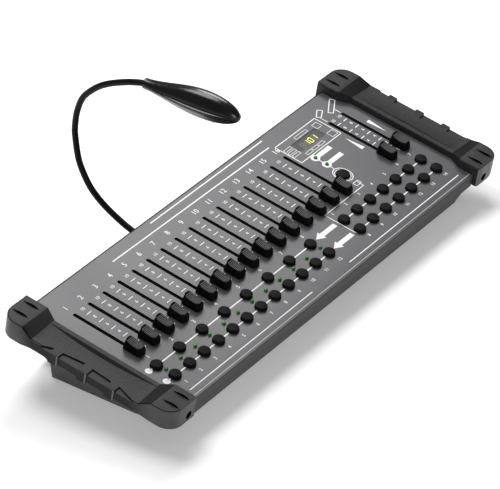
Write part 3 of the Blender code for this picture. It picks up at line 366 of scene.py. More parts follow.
# Finishes. Each has a base colour, or the name and share of one that the user sets; roughness; the
# grain's scale, detail and depth; the share by which it shifts the colour; sheen; and metallic
FINISHES = {
    "panel paint": (("panel", 1.0), 0.38, (1400.0, 2.0, 0.00002), 0.05, 0.36),
    "tray powder coat": (("tray", 1.0), 0.55, (1100.0, 3.0, 0.00006), 0.14),
    "cheek plastic": (("cheek", 1.0), 0.56, (800.0, 3.0, 0.00030), 0.85, 0.28),
    # Darker ramps, and painted shade in the ledge walls, grooves and screw wells
    "smooth cheek plastic": (("ramp", 1.0), 0.6, (1300.0, 2.0, 0.00004), 0.15, 0.10),
    # Painted light: a lighter, glossier copy of the cheek plastic for the outer walls
    "satin cheek plastic": (("wall", 1.0), 0.4, (1000.0, 3.0, 0.00008), 0.2, 0.5),
    # Painted shade: a darker copy of the cheek plastic on the long facet by the inner rim
    "dark cheek plastic": (("cheek", 0.3), 0.7, (800.0, 3.0, 0.00020), 0.5, 0.1),
    # Painted highlight on the teeth's chamfers and the inner front corner of the cheeks
    "worn cheek edge": ((0.14, 0.14, 0.14), 0.4, (1000.0, 2.0, 0.00004), 0.1),
    "fader cap plastic": (("knob", 1.0), 0.5, (1500.0, 2.0, 0.00003), 0.2, 0.08),
    # Painted highlight: light grey ribs on the black caps, where their tops catch the light
    "grip plastic": ((0.17, 0.17, 0.17), 0.6, (1500.0, 2.0, 0.00003), 0.15, 0.2),
    "button plastic": (("button", 1.0), 0.6, (1600.0, 2.0, 0.00003), 0.1, 0.08),
    "white ink": (("ink", 1.0), 0.6, (1800.0, 2.0, 0.00001), 0.05),
    "lamp gloss": (("lamp", 1.0), 0.2, (500.0, 1.0, 0.000002), 0.1, 0.45),
    "neck sleeve": (("lamp", 1.0), 0.4, (700.0, 2.0, 0.00001), 0.1, 0.12),
    "socket plastic": ((0.012, 0.012, 0.013), 0.45, (1300.0, 2.0, 0.00004), 0.15),
    "plated steel": ((0.55, 0.55, 0.54), 0.3, (1200.0, 2.0, 0.00002), 0.1, 0.5, 1.0),
    "green lens": ((0.012, 0.17, 0.006), 0.35, (1800.0, 1.0, 0.00001), 0.2),
    "smoked window": ((0.060, 0.060, 0.062), 0.5, (600.0, 1.0, 0.000004), 0.1, 0.25),
    "lit segment": ((0.62, 0.70, 0.05), 0.4, (2000.0, 2.0, 0.00001), 0.06),
    "dark segment": ((0.11, 0.11, 0.10), 0.4, (2000.0, 2.0, 0.00001), 0.1),
    "board coating": ((0.010, 0.011, 0.011), 0.5, (1200.0, 2.0, 0.00003), 0.2),
    "clear lens": ((0.75, 0.77, 0.80), 0.2, (700.0, 2.0, 0.00003), 0.05),
    "pale floor": ((0.88, 0.88, 0.88), 0.9, (40.0, 2.0, 0.00001), 0.01),
}


def add_node(tree, kind, values=None, **settings):
    """A shader node with its settings and the values of its sockets."""
    node = tree.nodes.new("ShaderNode" + kind)
    for name, value in settings.items():
        setattr(node, name, value)
    for socket, value in (values or {}).items():
        node.inputs[socket].default_value = value
    return node


def join(tree, *routes):
    """Links for routes of (node, output, node, input)."""
    for source, leaving, target, entering in routes:
        tree.links.new(source.outputs[leaving], target.inputs[entering])


def grain_group():
    """Fine mottle of paint or moulded plastic, with its relief."""
    found = bpy.data.node_groups.get("surface grain")
    if found:
        return found
    group = bpy.data.node_groups.new("surface grain", "ShaderNodeTree")
    for name, value in (("Scale", 900.0), ("Detail", 2.0), ("Depth", 0.0001)):
        socket = group.interface.new_socket(name, in_out="INPUT", socket_type="NodeSocketFloat")
        socket.default_value = value
    group.interface.new_socket("Tone", in_out="OUTPUT", socket_type="NodeSocketFloat")
    group.interface.new_socket("Normal", in_out="OUTPUT", socket_type="NodeSocketVector")
    taken = group.nodes.new("NodeGroupInput")
    given = group.nodes.new("NodeGroupOutput")
    place = add_node(group, "TexCoord")
    noise = add_node(group, "TexNoise", {"Roughness": 0.6})
    bump = add_node(group, "Bump", {"Strength": 1.0})
    join(
        group,
        (place, "Object", noise, "Vector"), (taken, "Scale", noise, "Scale"),
        (taken, "Detail", noise, "Detail"), (noise, "Fac", bump, "Height"),
        (taken, "Depth", bump, "Distance"), (noise, "Fac", given, "Tone"),
        (bump, "Normal", given, "Normal"),
    )
    return group


def scaled(colour, share):
    return (*(min(1.0, part * share) for part in colour), 1.0)


def base_colour(source):
    """A fixed colour, or a share of one that the user sets."""
    if len(source) == 3:
        return source
    name, share = source
    return scaled(getattr(bpy.context.scene.desk_colours, name), share)[:3]


def finish(name):
    """A finish of the table, made at its first use."""
    return bpy.data.materials.get(name) or new_finish(name, *FINISHES[name])


def new_finish(name, source, roughness, grain, tone, sheen=0.5, metallic=0.0):
    """A grained material: the mottle shifts its colour and its gloss, and stands in low relief."""
    colour = base_colour(source)
    material = bpy.data.materials.new(name)
    material.use_nodes = True
    tree = material.node_tree
    shader = tree.nodes["Principled BSDF"]
    shader.inputs["Specular IOR Level"].default_value = sheen
    shader.inputs["Metallic"].default_value = metallic
    mottle = tree.nodes.new("ShaderNodeGroup")
    mottle.node_tree = grain_group()
    for socket, value in zip(("Scale", "Detail", "Depth"), grain):
        mottle.inputs[socket].default_value = value
    middle = {"From Min": 0.3, "From Max": 0.7}
    spread = add_node(tree, "MapRange", middle)
    pair = {"A": scaled(colour, 1.0 - tone), "B": scaled(colour, 1.0 + tone)}
    blend = add_node(tree, "Mix", pair, data_type="RGBA")
    range_of_gloss = {"To Min": max(0.02, roughness - 0.06), "To Max": min(1.0, roughness + 0.06)}
    gloss = add_node(tree, "MapRange", middle | range_of_gloss)
    join(
        tree,
        (mottle, "Tone", spread, "Value"), (mottle, "Tone", gloss, "Value"),
        (spread, "Result", blend, "Factor"), (blend, "Result", shader, "Base Color"),
        (gloss, "Result", shader, "Roughness"), (mottle, "Normal", shader, "Normal"),
    )
    return material


# Metres from the origin forward to the middle of the cheeks' walls, and from there to the start
# and the end of their change to the lighter satin copy, which is painted light
WALL_MIDDLE, WALL_FADE = 0.036, (0.050, 0.074)


def wall_finish():
    """Painted light on the corner blocks' walls, a lighter satin copy of the cheek plastic, fading
    to the darker grain of the finger rest between them.
    """
    known = bpy.data.materials.get("satin cheek plastic")
    if known:
        return known
    material = finish("satin cheek plastic")
    tree = material.node_tree
    shader = tree.nodes["Principled BSDF"]
    # The lighter wall colour, painted light
    satin = shader.inputs["Base Color"].links[0].from_node
    place = add_node(tree, "TexCoord")
    parts = add_node(tree, "SeparateXYZ")
    shift = add_node(tree, "Math", {1: WALL_MIDDLE}, operation="ADD")
    away = add_node(tree, "Math", operation="ABSOLUTE")
    block = {"From Min": WALL_FADE[0], "From Max": WALL_FADE[1]}
    share = add_node(tree, "MapRange", block, interpolation_type="SMOOTHSTEP")
    tint = add_node(tree, "Mix", {"A": (*base_colour(("cheek", 0.75)), 1.0)}, data_type="RGBA")
    sheen = add_node(tree, "MapRange", {"To Min": 0.15, "To Max": 0.5})
    join(
        tree,
        (place, "Object", parts, "Vector"), (parts, "Y", shift, 0), (shift, "Value", away, 0),
        (away, "Value", share, "Value"), (share, "Result", tint, "Factor"),
        (share, "Result", sheen, "Value"), (satin, "Result", tint, "B"),
        (tint, "Result", shader, "Base Color"), (sheen, "Result", shader, "Specular IOR Level"),
    )
    return material


def lit_finish():
    """A segment that glows."""
    material = finish("lit segment")
    shader = material.node_tree.nodes["Principled BSDF"]
    shader.inputs["Emission Color"].default_value = (*base_colour(FINISHES["lit segment"][0]), 1.0)
    shader.inputs["Emission Strength"].default_value = 0.8
    return material


# Places on the panel, in millimetres across and up the slope
PITCH = 20.9
FADERS = [-201.6 + PITCH * i for i in range(16)] + [185.3, 206.2]
SCENES = [(-204.0 + 32.7 * i, -92.7) for i in range(8)]
SCANNERS = [(-202.3 + PITCH * i, -111.5) for i in range(12)]
UPPER_KEYS = [(76.1 + PITCH * i, -94.1) for i in range(7)]
LOWER_KEYS = [(76.1 + PITCH * i, -111.9) for i in range(7)]
PAGE_KEY = (129.7, -55.3)
SCANNER_LIGHTS = [(x, -101.2) for x in FADERS[:12]]
PAGE_LIGHTS = [(132.0, -22.4), (132.0, -35.5)]
WINDOW = ((129.8, -8.2), (168.2, 4.6))
SLOT_ENDS = (-73.4, 0.0)
REST = -66.7
PRINT = 0.03

# Ramps of the cheeks, each from its top at a corner block to its foot at the finger rest
FRONT_RAMP = (-124.2, -112.7)
REAR_RAMP = (14.8, 2.5)


# Face panel
PANEL_REAR = 33.2
PANEL_END = 225.0
SHEET = 1.5
LIP = 12.5
THROUGH = 5.0
SLOT_HALF, SLOT_ROUND = 1.9, 1.85
BUTTON_HOLE, PAGE_HOLE, LIGHT_HOLE = 5.95, 6.75, 1.7
# Painted shade: the folded lip's front faces take the tray's darker coat, and the cut faces take
# black cap plastic
LIP_SHADE, CUT_FACE_SHADE = 1, 2


def panel_sheet():
    """A sheet with its front edge folded down, still without holes."""
    skin = [(PANEL_REAR, 0.0), *arc((-140.8, -1.0), (1.0, 1.0), 90, 180, 8), (-141.8, -LIP)]
    inside = [(-139.5, -LIP), *arc((-138.6, -2.4), (0.9, 0.9), 180, 90, 6), (PANEL_REAR, -SHEET)]
    bm = bmesh.new()
    add_strip(bm, [*skin, *inside], -PANEL_END, PANEL_END)
    return bm


def panel_openings():
    """Slots, holes and window, notches for the cheeks' blocks, and a shallow rear edge, all with
    black faces as painted shade.
    """
    bm = bmesh.new()
    for side in (-1, 1):
        for (top, foot), end in ((REAR_RAMP, 60.0), (FRONT_RAMP, -170.0)):
            notch = [(219.0, end), (219.0, top), (PANEL_END, foot), (240.0, foot), (240.0, end)]
            add_plate(bm, [(side * x, v) for x, v in notch], -30.0, 8.0)
    for x in FADERS:
        low, high = (x - SLOT_HALF, SLOT_ENDS[0]), (x + SLOT_HALF, SLOT_ENDS[1])
        add_plate(bm, rounded(low, high, SLOT_ROUND, 4), -THROUGH, THROUGH)
    for x, v in (*SCENES, *SCANNERS, *UPPER_KEYS, *LOWER_KEYS, PAGE_KEY):
        radius = PAGE_HOLE if (x, v) == PAGE_KEY else BUTTON_HOLE
        add_rod(bm, radius, (x, v, -THROUGH), (x, v, THROUGH), 40)
    for x, v in (*SCANNER_LIGHTS, *PAGE_LIGHTS):
        add_rod(bm, LIGHT_HOLE, (x, v, -THROUGH), (x, v, THROUGH), 20)
    add_plate(bm, rounded(*WINDOW, 0.8, 3), -THROUGH, THROUGH)
    add_box(bm, (-218.6, 31.9, -0.12), (218.6, 40.0, THROUGH))
    mark(bm, CUT_FACE_SHADE)
    return bm


class DESK_OT_panel(bpy.types.Operator):
    """Folded sheet panel with slots, button holes and the display window"""

    bl_idname = "lighting_desk.panel"
    bl_label = "Face panel"

    def execute(self, context):
        bm = carve(panel_sheet(), panel_openings())
        bm.normal_update()
        for face in bm.faces:
            # The lip's front faces take the darker tray coat: painted shade
            if face.normal.y < -0.8 and face.calc_center_median().y < -140.0:
                face.material_index = LIP_SHADE
        place, look = slope_place(), finish("panel paint")
        sheet = piece(
            "face_panel_sheet", bm, "desk", look, place, stands_for=["face_panel"]
        )
        # Finishes for the lip's painted shade and the openings' painted shade
        for name in ("tray powder coat", "fader cap plastic"):
            sheet.data.materials.append(finish(name))
        return {"FINISHED"}


# Print on the panel
def line(bm, start, end, width):
    """A printed line between two points."""
    start, end = Vector(start), Vector(end)
    side = Vector((start.y - end.y, end.x - start.x)).normalized() * width / 2
    add_patch(bm, [start - side, end - side, end + side, start + side], PRINT)


def outline(bm, points, width):
    """A printed line round an outline."""
    for start, end in zip(points, [*points[1:], points[0]]):
        line(bm, start, end, width)


def arrow(bm, tip, tail):
    """A solid arrow that points to the left."""
    neck = tip[0] + 9.0
    points = [tip, (neck, tip[1] - 5.0), (neck, tip[1] - 2.5), (tail, tip[1] - 2.5)]
    points += [(tail, tip[1] + 2.5), (neck, tip[1] + 2.5), (neck, tip[1] + 5.0)]
    add_patch(bm, points, PRINT)


def printed_shapes():
    """Lines of the rows, scales and edges, a painted highlight along the front fold, and the two
    arrows.
    """
    bm = bmesh.new()
    for start, end, width in (
        ((-208.0, -131.7), (-26.7, -131.7), 1.0),
        ((31.1, -131.7), (209.1, -131.7), 1.0),
        # Painted highlight along the front fold, in white ink
        ((-218.0, -138.3), (218.0, -138.3), 0.35),
        ((-121.4, 19.0), (113.0, 17.4), 1.3),
        ((-54.8, 27.9), (116.3, 27.9), 1.3),
    ):
        line(bm, start, end, width)
    for x in FADERS[:15]:
        for v in (-8.8, -22.3, -35.7, -48.7, -61.4):
            line(bm, (x + 7.6, v), (x + 14.2, v), 0.8)
    for v in (-8.6, -22.0, -35.6, -48.7, -61.4):
        line(bm, (187.8, v), (193.3, v), 0.9)
        line(bm, (197.6, v), (203.5, v), 0.9)
    for centres in (SCENES, SCANNERS, UPPER_KEYS, LOWER_KEYS):
        for first, second in zip(centres, centres[1:]):
            line(bm, (first[0] + 5.9, first[1]), (second[0] - 5.9, second[1]), 1.3)
    for (x, v), back, up in ((SCENES[0], 9.9, 0.8), (SCANNERS[0], 11.0, 0.7)):
        x, v = x - back, v + up
        add_patch(bm, arc((x, v), (3.4, 3.4), 0, 345, 23), PRINT)
        line(bm, (x, v), (x + 5.0, v - 0.6), 1.2)
    arrow(bm, (35.3, -91.9), 65.3)
    arrow(bm, (36.4, -110.6), 65.8)
    for start, end in (
        ((69.5, -77.2), (69.5, -111.0)),
        ((69.5, -111.5), (71.0, -111.9)),
        ((69.2, -77.5), (131.6, -77.5)),
        ((131.6, -77.9), (131.8, -70.0)),
    ):
        line(bm, start, end, 0.9)
    return bm


def page_print():
    """Plates under the page lights, rings round the page button, frames and fader wedges."""
    bm = bmesh.new()
    for x, v in PAGE_LIGHTS:
        disc = arc((x, v), (4.6, 4.6), 32, 328, 20)
        add_plate(bm, [*disc, (x + 24.2, v - 2.6), (x + 24.2, v + 2.6)], 0.005, PRINT)
    for first, second in (((132.0, -27.0), (132.0, -31.0)), ((132.0, -40.0), (131.6, -45.0))):
        line(bm, first, second, 1.0)
    outline(bm, arc((130.8, -54.7), (8.5, 10.0), 0, 350, 35), 0.9)
    outline(bm, arc((130.3, -54.9), (7.3, 8.0), 0, 350, 35), 0.7)
    outline(bm, [(126.6, -69.0), (133.8, -69.0), (133.8, -73.6), (126.6, -73.6)], 0.7)
    for frame_line in (
        [(117.0, 13.2), (180.6, 13.2), (180.6, -17.6), (117.0, -17.6)],
        [(193.1, 19.0), (196.3, 14.9), (186.5, 9.5), (183.4, 13.1)],
        [(215.9, 20.6), (218.3, 16.0), (200.8, 5.3), (197.4, 9.2)],
    ):
        outline(bm, frame_line, 0.9)
    for low, high in (
        ((141.8, 6.4), (160.4, 9.6)), ((169.6, 2.0), (177.0, 8.8)),
        ((170.4, -15.4), (178.6, -8.2)), ((118.4, 1.6), (128.8, 4.6)),
        ((118.4, -3.4), (128.8, -0.4)), ((118.4, -8.4), (128.8, -5.4)),
        ((131.0, -14.8), (139.6, -11.6)), ((140.8, -14.8), (149.2, -11.6)),
        ((150.4, -14.8), (158.6, -11.6)),
    ):
        outline(bm, [low, (high[0], low[1]), high, (low[0], high[1])], 0.5)
    line(bm, (185.3, 9.5), (185.3, 1.3), 0.8)
    line(bm, (206.3, 8.6), (206.3, 1.1), 0.8)
    add_patch(bm, [(177.3, -24.7), (174.8, -45.5), (179.8, -45.5)], PRINT)
    add_patch(bm, [(212.6, -24.4), (214.4, -46.2), (217.1, -24.4)], PRINT)
    return bm


def numerals():
    """(text, x, v, height) of every printed number."""
    marks = []
    for i, x in enumerate(FADERS[:16]):
        marks.append((str(i + 1), x + 1.0, 9.0, 5.6))
    for x in (*(x + 10.9 for x in FADERS[:15]), 190.4, 200.6):
        for k, text in enumerate(("10", "8", "6", "4", "2", "0")):
            marks.append((text, x, -1.9 - 13.5 * k, 3.5))
    for centres, first, across, up, height in (
        (SCENES, 1, 4.4, 12.2, 4.2),
        (SCANNERS, 1, 1.0, -11.5, 3.6),
        (UPPER_KEYS, 1, 0.0, 12.4, 3.4),
        (LOWER_KEYS, 8, 0.0, -10.6, 3.4),
    ):
        for i, (x, v) in enumerate(centres, first):
            marks.append((str(i), x + across, v + up, height))
    return marks


def numeral_shapes():
    """The numbers as flat outlines, filled."""
    helpers = []
    for text, x, v, height in numerals():
        curve = bpy.data.curves.new("numeral", "FONT")
        curve.body = text
        curve.size = height * 1.42
        curve.align_x = "CENTER"
        curve.align_y = "CENTER"
        curve.resolution_u = 3
        curve.offset = 0.045
        helper = bpy.data.objects.new("numeral", curve)
        helper.location = (x, v, PRINT)
        bpy.context.scene.collection.objects.link(helper)
        helpers.append(helper)
    bpy.context.view_layer.update()
    graph = bpy.context.evaluated_depsgraph_get()
    bm = bmesh.new()
    for helper in helpers:
        mesh = bpy.data.meshes.new_from_object(helper.evaluated_get(graph))
        mesh.transform(helper.matrix_world)
        bm.from_mesh(mesh)
        bpy.data.meshes.remove(mesh)
    for helper in helpers:
        curve = helper.data
        bpy.data.objects.remove(helper)
        bpy.data.curves.remove(curve)
    return bm


class DESK_OT_print(bpy.types.Operator):
    """White printed lines, plates and plain numbers, and a painted highlight along the front fold
    """

    bl_idname = "lighting_desk.print"
    bl_label = "Panel print"

    def execute(self, context):
        place = slope_place()
        up = place.to_3x3() @ Vector((0.0, 0.0, 1.0))
        for name, bm in (
            ("printed_lines", printed_shapes()),
            ("printed_plates", page_print()),
            ("printed_numbers", numeral_shapes()),
        ):
            bm.transform(place)
            bm.normal_update()
            turned = [face for face in bm.faces if face.normal.dot(up) < -1e-6]
            bmesh.ops.reverse_faces(bm, faces=turned)
            flat_piece(name, bm, "desk", finish("white ink"))
        return {"FINISHED"}


# Faders: the cap's top from rear to front, as places along the slot and heights
CAP_TOP = [
    (9.6, 9.7), (8.2, 10.5), (7.5, 10.4), (6.7, 9.7), (5.7, 9.1), (3.0, 8.3), (0.0, 7.9),
    (-3.0, 7.8), (-6.0, 7.9), (-7.6, 7.8), (-9.6, 7.1),
]
CAP_HALF = (4.35, 8.2)
CAP_ROUND = 4.1
# Height, half width, half length and corner radius
CAP_RINGS = (
    (0.6, 5.5, 9.8, 3.0), (4.2, 5.3, 9.5, 3.0), (7.4, 4.7, 8.7, 3.5), (14.0, 4.2, 7.9, 4.0),
)
RIBS, RIB_START, RIB_STEP, RIB_RADIUS = 10, 6.0, 1.45, 0.36


def cap_half_width(v):
    """Half width of the cap's rounded outline at a place along it."""
    into = abs(v) - (CAP_HALF[1] - CAP_ROUND)
    if into <= 0.0:
        return CAP_HALF[0]
    return CAP_HALF[0] - CAP_ROUND + math.sqrt(max(0.0, CAP_ROUND ** 2 - into ** 2))


def cap_shape():
    """Finger cap, rounded in plan, with a low rear lip and a dished top, on its flat lever."""
    top = smooth_path([Vector(point) for point in CAP_TOP], 3)
    rings = []
    for height, half_x, half_v, radius in CAP_RINGS:
        plan = rounded((-half_x, -half_v), (half_x, half_v), radius, 6)
        rings.append([(x, v, height) for x, v in plan])
    above = bmesh.new()
    waste = [*((point.x, point.y) for point in top), (-9.6, 20.0), (9.6, 20.0)]
    add_strip(above, waste, -8.0, 8.0)
    bm = carve(add_loft(bmesh.new(), rings), above)
    soften(bm, 0.35, 2, 40.0)
    add_box(bm, (-0.8, -2.5, -7.0), (0.8, 2.5, 2.0))
    return bm


def grip_shape():
    """Fine ribs across the dished top."""
    top = smooth_path([Vector(point) for point in CAP_TOP], 12)
    bm = bmesh.new()
    for i in range(RIBS):
        v = RIB_START - RIB_STEP * i
        low = min(top, key=lambda point: abs(point.x - v)).y
        reach = cap_half_width(v) - 0.25
        add_rod(bm, RIB_RADIUS, (-reach, v, low), (reach, v, low), 8)
    return bm


class DESK_OT_faders(bpy.types.Operator):
    """Finger caps of the slide faders, each on its own slide"""

    bl_idname = "lighting_desk.faders"
    bl_label = "Faders"

    def execute(self, context):
        names = [f"channel_fader_{i + 1:02d}" for i in range(16)]
        names += ["speed_fader", "fade_time_fader"]
        # The ribs take a lighter plastic: painted highlight
        look, lit_ribs = finish("fader cap plastic"), finish("grip plastic")
        cap, grip = cap_shape(), grip_shape()
        for name, x in zip(names, FADERS):
            place = slope_place() @ Matrix.Translation((x, REST, 0.0))
            piece(name + "_cap", cap.copy(), name, look, place, stands_for=[name])
            piece(name + "_grip", grip.copy(), name, lit_ribs, place)
        cap.free()
        grip.free()
        return {"FINISHED"}


# Buttons
BUTTON_HEIGHT = 3.42
PAGE_HEIGHT, PAGE_EXTRA = 2.5, 0.85


def button_profile(radius, height):
    """From the stem under the panel to the rounded cap."""
    return [
        (0.0, -5.4), (2.0, -5.4), (2.0, -3.2), (radius + 0.8, -3.2), (radius + 0.8, -1.8),
        (radius, -1.8), (radius, height - 0.82), (radius - 0.1, height - 0.44),
        (radius - 0.35, height - 0.17), (radius - 0.8, height - 0.04), (0.0, height),
    ]


class DESK_OT_buttons(bpy.types.Operator):
    """Round push buttons, and the two moulded strips of function keys"""

    bl_idname = "lighting_desk.buttons"
    bl_label = "Buttons"

    def execute(self, context):
        place, look = slope_place(), finish("button plastic")
        radius = context.scene.desk_sizes.button_radius / MM
        groups = {f"scene_button_{i + 1}": [centre] for i, centre in enumerate(SCENES)}
        groups |= {f"scanner_button_{i + 1:02d}": [centre] for i, centre in enumerate(SCANNERS)}
        groups |= {"page_button": [PAGE_KEY]}
        groups |= {"function_keys_upper": UPPER_KEYS, "function_keys_lower": LOWER_KEYS}
        for name, centres in groups.items():
            bm = bmesh.new()
            for x, v in centres:
                profile = button_profile(radius, BUTTON_HEIGHT)
                if name == "page_button":
                    profile = button_profile(radius + PAGE_EXTRA, PAGE_HEIGHT)
                add_turned(bm, profile, Matrix.Translation((x, v, 0.0)))
            if len(centres) > 1:
                first, last = centres[0], centres[-1]
                add_box(bm, (first[0], first[1] - 3.5, -2.9), (last[0], last[1] + 3.5, -2.1))
            piece(name + "_cap", bm, name, look, place, stands_for=[name])
        return {"FINISHED"}


# Indicator lights, each a domed lens with a narrow flange
LIGHT_PROFILE = [
    (0.0, 0.0), (1.62, 0.0), (1.62, 0.42), (1.95, 0.42), (1.95, 0.6), (1.66, 0.72), (1.62, 1.75),
    (1.4, 2.15), (0.95, 2.4), (0.0, 2.55),
]


class DESK_OT_indicators(bpy.types.Operator):
    """Green indicator lights, unlit"""

    bl_idname = "lighting_desk.indicators"
    bl_label = "Indicator lights"

    def execute(self, context):
        place, look = slope_place(), finish("green lens")
        bm = bmesh.new()
        for x, v in (*SCANNER_LIGHTS, *PAGE_LIGHTS):
            add_turned(bm, LIGHT_PROFILE, Matrix.Translation((x, v, -0.4)), 20)
        piece("indicator_lights", bm, "desk", look, place)
        return {"FINISHED"}


# Display: each segment's middle, and whether it lies flat
SEGMENTS = {
    "a": ((0.0, 3.2), True), "g": ((0.0, 0.0), True), "d": ((0.0, -3.2), True),
    "b": ((1.75, 1.6), False), "c": ((1.75, -1.6), False),
    "f": ((-1.75, 1.6), False), "e": ((-1.75, -1.6), False),
}
LIT = {1: "bc", 2: "abcdef", 3: "bc"}
SEGMENT_HALF = (1.75, 0.48)
DIGIT_SLANT = 0.12


def segment_points(place, flat):
    """A lozenge, lying or standing."""
    long, wide = SEGMENT_HALF
    points = []
    for a, b in (
        (-long, 0.0), (-long + wide, -wide), (long - wide, -wide), (long, 0.0),
        (long - wide, wide), (-long + wide, wide),
    ):
        x, y = (a, b) if flat else (b, -a)
        points.append((place[0] + x + DIGIT_SLANT * (y + place[1]), place[1] + y))
    return points


class DESK_OT_display(bpy.types.Operator):
    """Smoked window with four seven-segment digits"""

    bl_idname = "lighting_desk.display"
    bl_label = "Display"

    def execute(self, context):
        place = slope_place()
        bm = bmesh.new()
        add_plate(bm, rounded((130.1, -7.9), (167.9, 4.3), 0.6, 3), -1.9, -0.4)
        add_plate(bm, rounded((127.4, -10.6), (170.6, 7.0), 0.8, 3), -3.4, -1.85)
        look, seen_as = finish("smoked window"), ["display_window"]
        piece("display_window_pane", bm, "desk", look, place, stands_for=seen_as)
        for name, look, want in (
            ("lit_digits", lit_finish(), True),
            ("dark_digits", finish("dark segment"), False),
        ):
            bm = bmesh.new()
            for digit in range(4):
                centre = (139.6 + 6.0 * digit, -3.2)
                for letter, (offset, flat) in SEGMENTS.items():
                    if (letter in LIT.get(digit, "")) is want:
                        points = segment_points(offset, flat)
                        points = [(centre[0] + x, centre[1] + y) for x, y in points]
                        add_plate(bm, points, -0.42, -0.36)
            piece(name, bm, "desk", look, place)
        return {"FINISHED"}


# End cheeks, drawn as the right-hand one
FRONT_FACE = -147.4
FRONT_CORNER = (240.0, -132.4)
REAR_CORNER = (241.3, 23.2)
CORNER_RADIUS = 15.0
INNER_ROUND = 2.6
BLOCK_INNER, BLOCK_TOP = 219.3, 9.3
REST_INNER, REST_RIM, REST_TOP = 225.3, 6.3, 4.1
BLOCK_BASE, REST_BASE = -11.0, -6.6
TEETH = (-88.6, -58.8, -27.9)
TOOTH = 9.2
SLOT_LINES = (228.0, 243.0)
SLOT_SPANS = ((18.6, 35.6), (-144.8, -127.6))
GROOVE_RADIUS = 14.4
GROOVE_HALF = 0.42
SEAM = 0.45
SCREW_X, SCREW_HEIGHT = 229.65, -4.6
NEAR = 0.2


def cheek_ring(outer, block, bend, corner=0.0):
    """Cross-section of a cheek: corner block, or finger rest with a facet that a bend widens."""
    if block:
        inner, rim, side, base = BLOCK_INNER + corner, BLOCK_TOP, BLOCK_TOP, BLOCK_BASE
        width = outer - inner
        top = [(inner + share * width, BLOCK_TOP) for share in (0.85, 0.40, 0.36)]
    else:
        inner, rim, side, base = REST_INNER, REST_RIM, REST_TOP, REST_BASE
        facet = (231.0 + 3.1 * bend, 6.15 - 1.55 * bend)
        top = [(250.8, REST_TOP), facet, (230.6, REST_RIM)]
    return [
        (inner, BLOCK_BASE),
        (outer - 1.5, base), (outer, base + 1.5), (outer, side - 0.5), (outer - 0.1, side - 0.1),
        (outer - 0.5, side),
        *top,
        (inner + 0.7, rim),
        (inner, rim - 0.7),
    ]


def cheek_shape():
    """The cheek from front to rear, without its foot."""
    radii = (CORNER_RADIUS, CORNER_RADIUS)
    stations = []
    for x, v in arc(FRONT_CORNER, radii, -90, 0, 7):
        back = max(0.0, INNER_ROUND - (v - FRONT_FACE))
        corner = INNER_ROUND - math.sqrt(INNER_ROUND ** 2 - back ** 2)
        stations.append((v, x, True, 0.0, corner))
    stations.append((FRONT_RAMP[0], 255.0, True, 0.0))
    for i in range(17):
        bend = math.sin(math.pi * i / 16) ** 0.9
        stations.append((FRONT_RAMP[1] + 7.2 * i, 258.3, False, bend))
    stations.append((REAR_RAMP[0], 256.3, True, 0.0))
    stations += [(v, x, True, 0.0) for x, v in arc(REAR_CORNER, radii, 0, 90, 8)]
    rings = [[(x, v, h) for x, h in cheek_ring(*rest)] for v, *rest in stations]
    return add_loft(bmesh.new(), rings)


def table_height(sizes, v):
    return -(sizes.slope_z / MM + v * math.sin(sizes.tilt)) / math.cos(sizes.tilt)


def cheek_foot(sizes):
    """A wedge under the cheek, down to the table."""
    bm = bmesh.new()
    points = []
    for v in (-91.0, -1.7):
        points += [(x, v, table_height(sizes, v)) for x in (212.7, 223.5)]
    points += [(212.7, -124.2, -8.0), (253.5, -121.2, -8.0)]
    points += [(256.8, -18.7, -6.2), (212.7, -12.0, -8.0)]
    bmesh.ops.convex_hull(bm, input=[bm.verts.new(point) for point in points])
    return bm


def cheek_teeth():
    """Three teeth on the outer wall, each with a painted highlight on the chamfer at its front
    corner.
    """
    bm = bmesh.new()
    for front in TEETH:
        rear = front + TOOTH
        tooth = [(255.0, front), (258.9, front), (260.0, front + 1.0)]
        tooth += [(260.0, rear), (255.0, rear)]
        add_plate(bm, tooth, -6.3, 3.95)
    bm.normal_update()
    for face in bm.faces:
        if 0.5 < face.normal.x < 0.9:
            face.material_index = EDGE_HIGHLIGHT
    return bm


def cheek_ledges():
    """Low ledges between the teeth, each from its rear end to its front end, with painted shade on
    their walls.
    """
    bm = bmesh.new()
    for rear, front in (
        ((256.6, -9.0), (252.2, -18.64)),
        ((251.7, -27.96), (248.4, -49.54)),
        ((249.8, -58.86), (251.0, -79.34)),
        ((251.2, -88.66), (257.6, -108.6)),
    ):
        rings = []
        for x, v in (rear, front):
            rings.append([(x, v, 2.7), (263.0, v, 2.7), (263.0, v, 12.0), (x, v, 12.0)])
        add_loft(bm, rings)
    bmesh.ops.recalc_face_normals(bm, faces=bm.faces)
    for face in bm.faces:
        face.material_index = RAMP_AND_RECESS_SHADE if abs(face.normal.z) < 0.5 else 0
    return bm


def cheek_slots(side):
    """Leaf-shaped slots in the corner blocks, deep on the right of the desk, with painted shade on
    their walls, and the screw well, painted dark inside.
    """
    bm = bmesh.new()
    ends = [(SCREW_X, v, SCREW_HEIGHT) for v in (-150.0, -135.5)]
    add_rod(bm, 3.9, *ends, 28)
    mark(bm, RAMP_AND_RECESS_SHADE)
    for x in SLOT_LINES:
        for low, high in SLOT_SPANS:
            rings = []
            for i in range(13):
                half = side * (0.12 + 2.15 * math.sin(math.pi * (i / 12) ** 0.8) ** 0.8)
                v = low + (high - low) * i / 12
                ring = [(x + half, v, 9.2 - 0.95 * abs(half)), (x - half, v, 9.15)]
                ring += [(x - half, v, 12.0), (x + half, v, 12.0)]
                rings.append(ring)
            add_loft(bm, rings)
    bm.normal_update()
    for face in bm.faces:
        if face.material_index == 0 and abs(face.normal.z) < 0.3:
            face.material_index = SLOT_SHADE
    return bm


